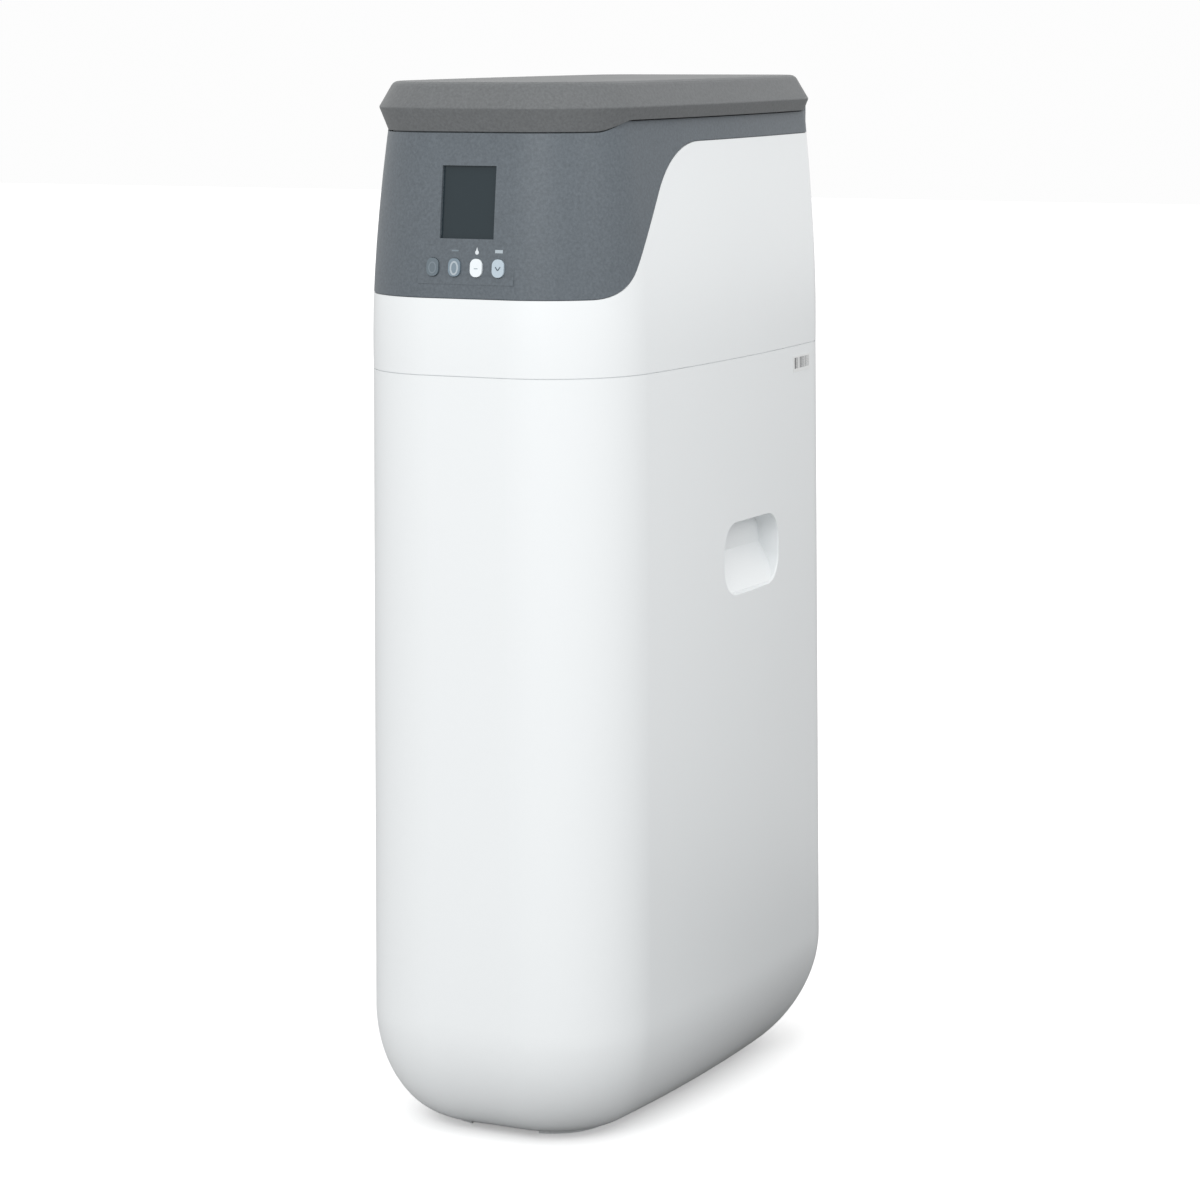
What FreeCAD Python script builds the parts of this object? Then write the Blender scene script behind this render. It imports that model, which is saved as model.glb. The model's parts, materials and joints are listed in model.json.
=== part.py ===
"""Cabinet water softener: a tall brine tank with a resin vessel, a control valve and a hinged lid.

The frame is in millimetres with +Z up. The origin is on the floor, at the middle of the overall
footprint. The control face looks along -Y and the plumbing leaves along +Y.
"""
import FreeCAD, Part
import math
import os

import Sketcher
from FreeCAD import Placement, Rotation, Vector

doc = FreeCAD.newDocument("cabinet_softener")
sheet = doc.addObject("Spreadsheet::Sheet", "sizes")

# Driving dimensions, in mm and degrees.
SIZES = [
    # cabinet outline at the seam between tank and shroud
    ("cabinet_width", 334.0),
    ("cabinet_depth", 608.0),
    ("side_bow_radius", 2600.0),
    ("front_corner_radius", 114.0),
    ("back_corner_radius", 66.0),
    ("back_reach", 24.0),
    ("seam_height", 834.0),
    ("lean_start", 870.0),
    ("rim_height", 1099.0),
    ("rim_inset", 20.5),
    # brine tank
    ("tank_wall", 4.0),
    ("tank_belly", 5.5),
    ("foot_height", 6.0),
    ("foot_gap", 84.0),
    ("foot_length", 84.0),
    ("bowl_height", 125.0),
    ("bowl_inset", 70.0),
    ("bowl_back_inset", 180.0),
    ("bowl_corner_inset", 52.0),
    ("tongue_height", 14.0),
    ("tongue_wall", 3.0),
    ("grip_length", 148.0),
    ("grip_height", 78.0),
    ("grip_corner", 30.0),
    ("grip_depth", 26.0),
    ("grip_lip", 5.0),
    ("grip_centre_height", 612.0),
    ("grip_to_back", 252.0),
    # shroud and hood
    ("shell_wall", 3.0),
    ("lap", 7.0),
    ("part_line", 0.9),
    ("sweep_low", 916.0),
    ("sweep_high", 1074.0),
    ("sweep_start", 38.0),
    ("sweep_low_radius", 69.0),
    ("sweep_high_radius", 126.0),
    ("sweep_slope", 53.5),
    ("bay_half_width", 76.0),
    ("bay_half_height", 40.0),
    ("collar_inset", 24.0),
    ("collar_back_inset", 19.0),
    ("collar_height", 17.0),
    ("collar_wall", 2.5),
    ("deck_width", 12.0),
    # lid
    ("lid_gap", 1.5),
    ("chin_drop", 11.0),
    ("chin_start", 60.0),
    ("chin_radius", 40.0),
    ("chin_slope", 18.0),
    ("brim_height", 1113.0),
    ("brim_inset", 9.6),
    ("brim_radius", 2.5),
    ("skirt_slope", 0.4),
    ("lid_back_inset", 9.0),
    ("lid_height", 1140.0),
    ("crown_inset", 16.0),
    ("crown_radius", 9.0),
    ("lid_wall", 2.5),
    ("liner_height", 1101.0),
    ("liner_thick", 2.5),
    ("liner_gap", 0.4),
    ("bumper_radius", 5.0),
    ("hinge_back", 5.0),
    ("hinge_rise", 4.6),
    ("barrel_radius", 3.6),
    ("pin_radius", 1.5),
    ("pin_clear", 0.05),
    ("hinge_offset", 92.0),
    ("barrel_length", 18.0),
    ("barrel_gap", 0.4),
    # display and keys
    ("window_width", 64.0),
    ("window_height", 76.0),
    ("window_centre", 1016.0),
    ("lens_recess", 3.6),
    ("lens_thick", 1.5),
    ("lens_lip", 3.0),
    ("panel_thick", 5.5),
    ("panel_margin", 8.0),
    ("module_thick", 4.0),
    ("board_thick", 1.6),
    ("key_width", 14.0),
    ("key_height", 19.0),
    ("key_corner", 6.5),
    ("key_pitch", 26.0),
    ("key_below_window", 68.0),
    ("key_proud", 0.8),
    ("key_clear", 0.4),
    ("key_flange", 1.6),
    ("key_flange_thick", 1.2),
    ("key_travel", 0.8),
    ("fit_gap", 0.3),
    # resin vessel
    ("vessel_radius", 128.0),
    ("vessel_wall", 4.0),
    ("vessel_top", 892.0),
    ("vessel_dome", 70.0),
    ("vessel_to_wall", 6.0),
    ("neck_radius", 39.0),
    ("neck_bore", 30.0),
    ("neck_height", 14.0),
    ("boot_radius", 112.0),
    ("boot_foot_radius", 36.0),
    ("boot_foot_forward", 75.0),
    ("boot_height", 68.0),
    ("boot_floor", 44.0),
    ("riser_radius", 13.5),
    ("riser_bore", 11.0),
    ("strainer_radius", 22.0),
    ("strainer_height", 46.0),
    ("resin_depth", 500.0),
    ("gravel_depth", 40.0),
    # control valve
    ("valve_flange_radius", 50.0),
    ("valve_flange_thick", 12.0),
    ("valve_radius", 45.0),
    ("valve_height", 84.0),
    ("chamber_radius", 30.0),
    ("chamber_depth", 26.0),
    ("port_spacing", 80.0),
    ("port_rise", 46.0),
    ("port_radius", 19.0),
    ("port_bore", 12.5),
    ("port_reach", 78.0),
    ("disc_radius", 28.0),
    ("disc_thick", 7.0),
    ("shaft_radius", 6.0),
    ("run_clear", 0.05),
    ("bonnet_thick", 8.0),
    ("gear_module", 1.5),
    ("gear_teeth", 48.0),
    ("pinion_teeth", 12.0),
    ("gear_thick", 9.0),
    ("gear_lift", 4.0),
    ("tooth_slack", 0.5),
    ("plate_thick", 3.0),
    ("plate_lift", 5.0),
    ("post_radius", 2.6),
    ("motor_radius", 18.0),
    ("motor_height", 28.0),
    ("motor_shaft", 2.5),
    ("base_plate", 4.0),
    ("cover_width", 134.0),
    ("cover_depth", 138.0),
    ("cover_corner", 20.0),
    ("cover_height", 82.0),
    ("cover_wall", 2.5),
    ("bypass_length", 52.0),
    ("bypass_radius", 24.0),
    ("plug_radius", 17.0),
    ("bypass_height", 58.0),
    ("knob_radius", 18.0),
    ("knob_height", 16.0),
    ("cross_radius", 11.0),
    ("nut_radius", 23.0),
    ("nut_length", 14.0),
    ("tail_radius", 18.2),
    ("thread_radius", 16.6),
    ("thread_bore", 11.5),
    ("clip_width", 8.0),
    ("clip_thick", 2.5),
    ("turbine_radius", 10.5),
    ("turbine_length", 10.0),
    ("barb_radius", 6.3),
    ("side_port_radius", 10.0),
    ("side_port_reach", 66.0),
    ("branch_forward", 14.0),
    # brine side
    ("well_radius", 40.0),
    ("well_wall", 2.5),
    ("well_height", 915.0),
    ("well_offset", 92.0),
    ("well_to_front", 115.0),
    ("float_radius", 30.0),
    ("float_height", 60.0),
    ("float_rest", 520.0),
    ("float_rod_radius", 2.5),
    ("tube_radius", 4.75),
    ("tube_bore", 3.2),
    ("tube_turn", 24.0),
    ("grid_height", 150.0),
    ("grid_thick", 6.0),
    ("grid_hole_radius", 5.0),
    ("grid_hole_pitch", 26.0),
    ("leg_radius", 11.0),
    ("overflow_height", 742.0),
    ("overflow_offset", 80.0),
    ("overflow_radius", 8.0),
    ("spout_shoulder", 9.5),
    ("spout_length", 24.0),
    ("overflow_flange", 18.0),
]
for row, (alias, value) in enumerate(SIZES, start=1):
    sheet.set(f"A{row}", alias.replace("_", " "))
    sheet.set(f"B{row}", str(value))
    sheet.setAlias(f"B{row}", alias)
doc.recompute()


class Size:
    """A length worked out from the sheet, with the expression that binds it."""

    def __init__(self, value, text):
        self.value = float(value)
        self.text = text

    @staticmethod
    def of(other):
        if isinstance(other, Size):
            return other
        return Size(other, f"({float(other)!r})")

    def __add__(self, other):
        other = Size.of(other)
        return Size(self.value + other.value, f"({self.text} + {other.text})")

    def __sub__(self, other):
        other = Size.of(other)
        return Size(self.value - other.value, f"({self.text} - {other.text})")

    def __mul__(self, other):
        other = Size.of(other)
        return Size(self.value * other.value, f"({self.text} * {other.text})")

    def __truediv__(self, other):
        other = Size.of(other)
        return Size(self.value / other.value, f"({self.text} / {other.text})")

    def __radd__(self, other):
        return Size.of(other) + self

    def __rsub__(self, other):
        return Size.of(other) - self

    def __rmul__(self, other):
        return Size.of(other) * self

    def __neg__(self):
        return Size(-self.value, f"(0 - {self.text})")


def size(alias):
    """One of the driving dimensions."""
    return Size(sheet.get(alias), f"sizes.{alias}")


UPWARD = Rotation()
TO_RIGHT = Rotation(Vector(0, 1, 0), 90)
TO_LEFT = Rotation(Vector(0, 1, 0), -90)
TO_BACK = Rotation(Vector(1, 0, 0), -90)
TO_FRONT = Rotation(Vector(1, 0, 0), 90)
SIDE_PLANE = Rotation(Vector(1, 1, 1), 120)
NODES = {}
OVER = 400.0
PASS = 2.0


# ---------------------------------------------------------------- helpers

def bind(obj, **values):
    """Tie each property to a length from the sheet."""
    for name, value in values.items():
        obj.setExpression(name, Size.of(value).text)
    return obj


def place(obj, spot=(0, 0, 0), turn=UPWARD):
    """Put an object at a point worked out from the sheet."""
    obj.Placement = Placement(Vector(), turn)
    for axis, value in zip("xyz", spot):
        obj.setExpression(f"Placement.Base.{axis}", Size.of(value).text)
    return obj


def box(name, x, y, z):
    """A block between the (low, high) pairs x, y and z."""
    obj = doc.addObject("Part::Box", name)
    spans = [Size.of(high) - Size.of(low) for low, high in (x, y, z)]
    bind(obj, Length=spans[0], Width=spans[1], Height=spans[2])
    return place(obj, (x[0], y[0], z[0]))


def rod(name, radius, spot, length, turn=UPWARD):
    """A cylinder from a point along a direction."""
    obj = doc.addObject("Part::Cylinder", name)
    bind(obj, Radius=radius, Height=length)
    return place(obj, spot, turn)


def cone(name, low, high, spot, length, turn=UPWARD):
    """A cone frustum from a point along a direction."""
    obj = doc.addObject("Part::Cone", name)
    bind(obj, Radius1=low, Radius2=high, Height=length)
    return place(obj, spot, turn)


def fuse(name, *shapes):
    """One solid from several."""
    obj = doc.addObject("Part::MultiFuse", name)
    obj.Shapes = list(shapes)
    obj.Refine = True
    return obj


def group(name, *shapes):
    """Separate solids kept together as one object."""
    obj = doc.addObject("Part::Compound", name)
    obj.Links = list(shapes)
    return obj


def cut(name, base, *tools):
    """A solid with others taken out of it."""
    obj = doc.addObject("Part::Cut", name)
    obj.Base = base
    obj.Tool = tools[0] if len(tools) == 1 else fuse(f"{name}_tools", *tools)
    return obj


def common(name, first, second):
    """What two solids share."""
    obj = doc.addObject("Part::Common", name)
    obj.Base = first
    obj.Tool = second
    return obj


def tube(name, outer, bore, spot, length, turn=UPWARD):
    """A straight pipe."""
    skin = rod(f"{name}_skin", outer, spot, length, turn)
    hollow = rod(f"{name}_bore", bore, spot, length, turn)
    return cut(name, skin, hollow)


def copies(name, piece, spots):
    """The same piece made again at each spot, as separate solids."""
    made = [piece(f"{name}_{index}", *spot) for index, spot in enumerate(spots)]
    return group(name, *made)


def node(name, obj):
    """Name a finished sub-part."""
    obj.Label = name
    NODES[name] = obj
    return obj


def pin_point(sketch, edge, point, x, y):
    """Hold one end of a sketch edge at a place worked out from the sheet."""
    for kind, value, axis in (("DistanceX", x, -2), ("DistanceY", y, -1)):
        value = Size.of(value)
        if value.value == 0:
            sketch.addConstraint(Sketcher.Constraint("PointOnObject", edge, point, axis))
            continue
        index = sketch.addConstraint(Sketcher.Constraint(kind, -1, 1, edge, point, value.value))
        sketch.setExpression(f"Constraints[{index}]", value.text)


def hold(sketch, kind, *where, value):
    """Add a dimension to a sketch, bound to the sheet."""
    value = Size.of(value)
    datum = math.radians(value.value) if kind == "Angle" else value.value
    index = sketch.addConstraint(Sketcher.Constraint(kind, *where, datum))
    sketch.setExpression(f"Constraints[{index}]", value.text)


def turned(name, profile, spot=(0, 0, 0), turn=UPWARD):
    """A body of revolution: (radius, height) corners of its half section."""
    body = doc.addObject("PartDesign::Body", name)
    sketch = body.newObject("Sketcher::SketchObject", f"{name}_section")
    plane = [item for item in body.Origin.OriginFeatures if item.Role == "XZ_Plane"][0]
    sketch.AttachmentSupport = (plane, [""])
    sketch.MapMode = "FlatFace"
    corners = [(Size.of(radius), Size.of(height)) for radius, height in profile]
    points = [Vector(radius.value, height.value, 0) for radius, height in corners]
    count = len(points)
    for index in range(count):
        sketch.addGeometry(Part.LineSegment(points[index], points[(index + 1) % count]))
    for index in range(count):
        sketch.addConstraint(Sketcher.Constraint("Coincident", index, 2, (index + 1) % count, 1))
        pin_point(sketch, index, 1, *corners[index])
    spin = body.newObject("PartDesign::Revolution", f"{name}_turn")
    spin.Profile = sketch
    spin.ReferenceAxis = (sketch, ["V_Axis"])
    spin.Angle = 360.0
    body.Tip = spin
    return place(body, spot, turn)


def rounded(name, width, height, radius):
    """A rounded rectangle about the origin of its sketch."""
    sketch = doc.addObject("Sketcher::SketchObject", name)
    half = (width.value / 2, height.value / 2)
    inner = (half[0] - radius.value, half[1] - radius.value)
    centres = [(1, -1), (1, 1), (-1, 1), (-1, -1)]
    for index, (right, up) in enumerate(centres):
        start = index * 90 - 90
        middle = Vector(right * inner[0], up * inner[1], 0)
        circle = Part.Circle(middle, Vector(0, 0, 1), radius.value)
        sketch.addGeometry(Part.ArcOfCircle(circle, math.radians(start), math.radians(start + 90)))
        step = Rotation(Vector(0, 0, 1), start + 90).multVec(Vector(radius.value, 0, 0))
        turn_right, turn_up = centres[(index + 1) % 4]
        after = Vector(turn_right * inner[0], turn_up * inner[1], 0)
        sketch.addGeometry(Part.LineSegment(middle + step, after + step))
    for index in range(8):
        following = (index + 1) % 8
        sketch.addConstraint(Sketcher.Constraint("Tangent", index, 2, following, 1))
    for index in (2, 4, 6):
        sketch.addConstraint(Sketcher.Constraint("Equal", 0, index))
    for index, kind in ((1, "Vertical"), (3, "Horizontal"), (5, "Vertical"), (7, "Horizontal")):
        sketch.addConstraint(Sketcher.Constraint(kind, index))
    hold(sketch, "Radius", 0, value=radius)
    hold(sketch, "DistanceX", -1, 1, 1, 1, value=width / 2)
    hold(sketch, "DistanceX", -1, 1, 5, 1, value=-width / 2)
    hold(sketch, "DistanceY", -1, 1, 3, 1, value=height / 2)
    hold(sketch, "DistanceY", -1, 1, 7, 1, value=-height / 2)
    return sketch


def drawn_out(name, sketch, forward, backward=0):
    """A prism from a sketch, along its normal and behind it."""
    obj = doc.addObject("Part::Extrusion", name)
    obj.Base = sketch
    obj.DirMode = "Normal"
    obj.Solid = True
    return bind(obj, LengthFwd=forward, LengthRev=backward)


# ---------------------------------------------------------------- cabinet outline

half_width = size("cabinet_width") / 2
half_depth = size("cabinet_depth") / 2
mid_y = (size("tank_belly") - size("back_reach")) / 2
front_y = mid_y - half_depth
back_y = mid_y + half_depth
seam = size("seam_height")
rim = size("rim_height")


def outline(name, height, side, front, back, radius=None):
    """The plan of the cabinet at one height, drawn in by the insets at its sides, front and back."""
    side = Size.of(side)
    radius = side if radius is None else radius
    across = half_width - side
    ahead = half_depth - front
    behind = half_depth - back
    bow = size("side_bow_radius") - side
    front_round = size("front_corner_radius") - radius
    back_round = size("back_corner_radius") - radius
    bow_centre = across.value - bow.value

    def corner(reach, rounding):
        """Centre and side tangent point of a corner arc, for the right side."""
        gap = reach.value - rounding.value
        spread = bow.value - rounding.value
        middle = Vector(bow_centre + math.sqrt(spread * spread - gap * gap), gap, 0)
        towards = Vector(middle.x - bow_centre, middle.y, 0).normalize()
        return middle, Vector(bow_centre, 0, 0) + towards * bow.value

    front_middle, front_touch = corner(ahead, front_round)
    back_middle, back_touch = corner(behind, back_round)
    front_middle.y = -front_middle.y
    front_touch.y = -front_touch.y

    def arc(middle, rounding, start, end):
        circle = Part.Circle(middle, Vector(0, 0, 1), rounding.value)
        first = math.atan2(start.y - middle.y, start.x - middle.x)
        last = math.atan2(end.y - middle.y, end.x - middle.x)
        return Part.ArcOfCircle(circle, first, last if last > first else last + 2 * math.pi)

    def mirrored(point):
        return Vector(-point.x, point.y, 0)

    front_end = Vector(front_middle.x, -ahead.value, 0)
    back_end = Vector(back_middle.x, behind.value, 0)
    bow_middle = Vector(bow_centre, 0, 0)
    edges = [
        Part.LineSegment(mirrored(front_end), front_end),
        arc(front_middle, front_round, front_end, front_touch),
        arc(bow_middle, bow, front_touch, back_touch),
        arc(back_middle, back_round, back_touch, back_end),
        Part.LineSegment(back_end, mirrored(back_end)),
        arc(mirrored(back_middle), back_round, mirrored(back_end), mirrored(back_touch)),
        arc(mirrored(bow_middle), bow, mirrored(back_touch), mirrored(front_touch)),
        arc(mirrored(front_middle), front_round, mirrored(front_touch), mirrored(front_end)),
    ]
    sketch = doc.addObject("Sketcher::SketchObject", name)
    sketch.addGeometry(edges)
    for index in range(8):
        sketch.addConstraint(Sketcher.Constraint("Tangent", index, 2, (index + 1) % 8, 1))
    for line in (0, 4):
        sketch.addConstraint(Sketcher.Constraint("Symmetric", line, 1, line, 2, -2))
    for right, left in ((1, 7), (2, 6), (3, 5)):
        sketch.addConstraint(Sketcher.Constraint("Equal", right, left))
    hold(sketch, "Radius", 1, value=front_round)
    hold(sketch, "Radius", 2, value=bow)
    hold(sketch, "Radius", 3, value=back_round)
    hold(sketch, "DistanceY", -1, 1, 0, 1, value=-ahead)
    hold(sketch, "DistanceY", -1, 1, 4, 1, value=behind)
    hold(sketch, "DistanceX", -1, 1, 2, 3, value=across - bow)
    sketch.addConstraint(Sketcher.Constraint("PointOnObject", 2, 3, -1))
    return place(sketch, (0, mid_y, height))


def lofted(name, sections, ruled=False):
    """A closed solid through outline sketches."""
    obj = doc.addObject("Part::Loft", name)
    obj.Sections = sections
    obj.Solid = True
    obj.Ruled = ruled
    return obj


def slab(name, low, high, side, front=None, back=None, corner=None):
    """The cabinet's plan, drawn in by the insets, as an upright prism."""
    front = side if front is None else front
    back = side if back is None else back
    plan = outline(f"{name}_plan", low, side, front, back, corner)
    return drawn_out(name, plan, Size.of(high) - Size.of(low))


BOWL_ANGLES = (90, 60, 30, 0)


def tank_form(name, skin):
    """The tank's form, drawn in by a wall thickness: a drafted side on a rounded bowl."""
    skin = Size.of(skin)
    flare = size("tank_belly")
    turn_in = size("bowl_inset") + flare
    turn_back = size("bowl_back_inset") + flare
    bowl = []
    for angle in BOWL_ANGLES:
        rise = 1 - math.sin(math.radians(angle))
        inward = 1 - math.cos(math.radians(angle))
        height = size("foot_height") + size("bowl_height") * rise + skin * (1 - rise)
        inset = turn_in * inward + skin * (1 - inward) - flare
        back = turn_back * inward + skin * (1 - inward) - flare
        corner = size("bowl_corner_inset") * inward + skin * (1 - inward)
        bowl.append(outline(f"{name}_bowl_{angle}", height, inset, inset, back, corner))
    top = outline(f"{name}_top", seam, skin, skin, skin)
    return fuse(name, lofted(f"{name}_bowl", bowl), lofted(f"{name}_side", [bowl[-1], top], True))


LEAN_STEPS = (0.0, 0.25, 0.5, 0.75, 1.0)
LEAN_POWER = 1.64


def lean(height):
    """How far the shroud and hood lean in at a height."""
    share = max(0.0, (height.value - size("lean_start").value) / (rim - size("lean_start")).value)
    return size("rim_inset") * share ** LEAN_POWER


def shell_form(name, skin):
    """The form of the shroud and hood together, drawn in by a wall thickness."""
    sections = [outline(f"{name}_foot", seam, skin, skin, skin)]
    for step in LEAN_STEPS:
        height = size("lean_start") + (rim - size("lean_start")) * step
        inset = lean(height) + skin
        sections.append(outline(f"{name}_lean_{int(step * 100)}", height, inset, inset, skin, inset))
    return lofted(name, sections)


def step_block(name, low, high, start, low_radius, high_radius, slope, drop=0):
    """All that lies above a line that runs low along the front and steps up towards the back."""
    low = Size.of(low)
    high = Size.of(high)
    reach = Size.of(OVER)
    angle = math.radians(slope.value)
    begin = (front_y + start).value
    low_middle = Vector(begin, low.value + low_radius.value, 0)
    foot = low_middle + Vector(math.sin(angle), -math.cos(angle), 0) * low_radius.value
    bend = (low_radius.value + high_radius.value) * (1 - math.cos(angle))
    rise = (high - low).value - bend
    along = rise / math.sin(angle)
    head = foot + Vector(math.cos(angle), math.sin(angle), 0) * along
    high_middle = head + Vector(math.sin(angle), -math.cos(angle), 0) * high_radius.value
    end = Vector(high_middle.x, high.value, 0)
    top = (high + reach).value
    far = reach.value
    up = Vector(0, 0, 1)
    quarter = math.pi / 2
    low_arc = Part.Circle(low_middle, up, low_radius.value)
    high_arc = Part.Circle(high_middle, up, high_radius.value)
    sketch = doc.addObject("Sketcher::SketchObject", f"{name}_line")
    sketch.addGeometry([
        Part.LineSegment(Vector(-far, low.value, 0), Vector(begin, low.value, 0)),
        Part.ArcOfCircle(low_arc, -quarter, -quarter + angle),
        Part.LineSegment(foot, head),
        Part.ArcOfCircle(high_arc, quarter, quarter + angle),
        Part.LineSegment(end, Vector(far, high.value, 0)),
        Part.LineSegment(Vector(far, high.value, 0), Vector(far, top, 0)),
        Part.LineSegment(Vector(far, top, 0), Vector(-far, top, 0)),
        Part.LineSegment(Vector(-far, top, 0), Vector(-far, low.value, 0)),
    ])
    for first, first_end, second, second_end in ((0, 2, 1, 1), (1, 2, 2, 1), (2, 2, 3, 2), (3, 1, 4, 1)):
        sketch.addConstraint(Sketcher.Constraint("Tangent", first, first_end, second, second_end))
    for first in (4, 5, 6):
        sketch.addConstraint(Sketcher.Constraint("Coincident", first, 2, first + 1, 1))
    sketch.addConstraint(Sketcher.Constraint("Coincident", 7, 2, 0, 1))
    for line in (0, 4, 6):
        sketch.addConstraint(Sketcher.Constraint("Horizontal", line))
    for line in (5, 7):
        sketch.addConstraint(Sketcher.Constraint("Vertical", line))
    hold(sketch, "Radius", 1, value=low_radius)
    hold(sketch, "Radius", 3, value=high_radius)
    hold(sketch, "Angle", 2, value=slope)
    hold(sketch, "DistanceX", -1, 1, 0, 1, value=-reach)
    hold(sketch, "DistanceX", -1, 1, 5, 1, value=reach)
    hold(sketch, "DistanceX", -1, 1, 0, 2, value=front_y + start)
    hold(sketch, "DistanceY", -1, 1, 0, 1, value=low)
    hold(sketch, "DistanceY", -1, 1, 4, 1, value=high)
    hold(sketch, "DistanceY", -1, 1, 6, 1, value=high + reach)
    place(sketch, (0, 0, -Size.of(drop)), SIDE_PLANE)
    return drawn_out(name, sketch, reach, reach)


# ---------------------------------------------------------------- brine tank

vessel_y = back_y - size("tank_wall") - size("vessel_to_wall") - size("vessel_radius")
floor = size("foot_height") + size("tank_wall")
wall_x = half_width + size("tank_belly")
grip_y = back_y - size("grip_to_back")
well_x = -size("well_offset")
well_y = front_y + size("well_to_front")


def grip_scoop(name, side, grow=0):
    """One hand grip: deep under its top edge and sloping out to its lower lip."""
    grow = Size.of(grow)
    wide = size("grip_length") + grow * 2
    tall = size("grip_height") + grow * 2
    mouth = rounded(f"{name}_mouth", wide, tall, size("grip_corner") + grow)
    place(mouth, (0, grip_y, size("grip_centre_height")), SIDE_PLANE)
    reach = Size.of(OVER)
    column = drawn_out(f"{name}_column", mouth, reach, reach)
    depth = size("grip_depth") + grow
    wedge = turned_wedge(f"{name}_wedge", wide, tall, depth, side)
    return common(name, column, wedge)


def grip_flare(name, side, deep, deep_growth, skin_growth):
    """A ring of slope that softens one grip's rim, from a depth under the skin out past it."""
    rings = []
    for index, (across, growth) in enumerate(((wall_x - deep, deep_growth), (wall_x + PASS, skin_growth))):
        ring = rounded(f"{name}_ring_{index}", size("grip_length") + growth * 2, size("grip_height") + growth * 2,
                       size("grip_corner") + growth)
        rings.append(place(ring, (across * side, grip_y, size("grip_centre_height")), SIDE_PLANE))
    return lofted(name, rings, ruled=True)


def turned_wedge(name, wide, tall, depth, side):
    """A block whose inner face is upright above and slopes out to the skin below."""
    body = doc.addObject("PartDesign::Body", name)
    sketch = body.newObject("Sketcher::SketchObject", f"{name}_section")
    plane = [item for item in body.Origin.OriginFeatures if item.Role == "XZ_Plane"][0]
    sketch.AttachmentSupport = (plane, [""])
    sketch.MapMode = "FlatFace"
    top = size("grip_centre_height") + tall / 2
    inner = (half_width - depth) * side
    outer = (wall_x + PASS) * side
    corners = [
        (inner, top),
        (outer, top),
        (outer, top - tall),
        ((half_width - 2) * side, top - tall),
        (inner, top - tall * 0.45),
    ]
    points = [Vector(x.value, z.value, 0) for x, z in corners]
    for index in range(5):
        sketch.addGeometry(Part.LineSegment(points[index], points[(index + 1) % 5]))
    for index in range(5):
        sketch.addConstraint(Sketcher.Constraint("Coincident", index, 2, (index + 1) % 5, 1))
        pin_point(sketch, index, 1, *corners[index])
    pad = body.newObject("PartDesign::Pad", f"{name}_pad")
    pad.Profile = sketch
    pad.Midplane = True
    bind(pad, Length=wide + PASS * 2)
    body.Tip = pad
    return place(body, (0, grip_y, 0))


def tongue(name):
    """The upright lip on the tank that the shroud drops over."""
    outer = size("shell_wall") + size("fit_gap")
    inner = outer + size("tongue_wall")
    low = seam - size("tongue_height")
    high = seam + size("tongue_height")
    return cut(name, slab(f"{name}_out", low, high, outer), slab(f"{name}_in", low - 1, high + 1, inner))


def feet(name):
    """Four corner pads, left where a cross of channels is taken from a low slab."""
    inset = size("bowl_inset") + 1
    back = size("bowl_back_inset") + 1
    block = slab(f"{name}_slab", 0, size("foot_height") + 2, inset, back=back, corner=size("bowl_corner_inset") + 1)
    high = size("foot_height")
    length = size("foot_length")
    across = box(f"{name}_across", (-OVER, OVER), (front_y + inset + length, back_y - back - length), (-1, high))
    along_half = size("foot_gap") / 2
    along = box(f"{name}_along", (-along_half, along_half), (-OVER, OVER), (-1, high))
    return cut(name, block, across, along)


screw_spots = [(-90,), (-45,), (45,), (90,)]
SCREW_RISE = 9.0
SCREW_RADIUS = 1.8
SCREW_HEAD = 4.0


def screw_bore(name, x, grow=0.0):
    """Clearance for one screw that holds the shroud to the tongue."""
    start = back_y - size("shell_wall") - size("fit_gap") - size("tongue_wall") - PASS
    return rod(name, SCREW_RADIUS + grow, (x, start, seam + SCREW_RISE), 20, TO_BACK)


overflow_spot = (size("overflow_offset"), back_y - 30, size("overflow_height"))
tank_skin = tank_form("tank_skin", 0)
tank_hollow = tank_form("tank_hollow", size("tank_wall"))
clear_room = tank_form("clear_room", size("tank_wall") + size("fit_gap"))
tank_room = fuse(
    "tank_room",
    tank_hollow,
    slab("tank_mouth", seam - 1, seam + 1, size("tank_wall")),
)
grip_wall = size("tank_wall")
grip_blocks = [grip_scoop(f"grip_block_{side}", side, grip_wall) for side in (-1, 1)]
grip_cuts = [grip_scoop(f"grip_cut_{side}", side) for side in (-1, 1)]
lip = size("grip_lip")
for side in (-1, 1):
    grip_cuts.append(grip_flare(f"grip_slope_{side}", side, lip * 1.6, Size.of(0), lip))
    grip_cuts.append(grip_flare(f"grip_edge_{side}", side, lip * 0.8, lip * 0.2, lip * 2.4))
tank_shell = cut("tank_shell", tank_skin, tank_room)
grip_backs = common("grip_backs", fuse("grip_pair", *grip_blocks), tank_skin)
tank_solid = fuse("tank_solid", tank_shell, grip_backs, tongue("tongue"), feet("feet"))
tank_bores = [screw_bore(f"tongue_bore_{index}", x) for index, (x,) in enumerate(screw_spots)]
overflow_bore = rod("overflow_bore", size("overflow_radius"), overflow_spot, 60, TO_BACK)
node("cabinet_tank", cut("tank_cut", tank_solid, *grip_cuts, *tank_bores, overflow_bore))

# ---------------------------------------------------------------- shroud and hood

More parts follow.
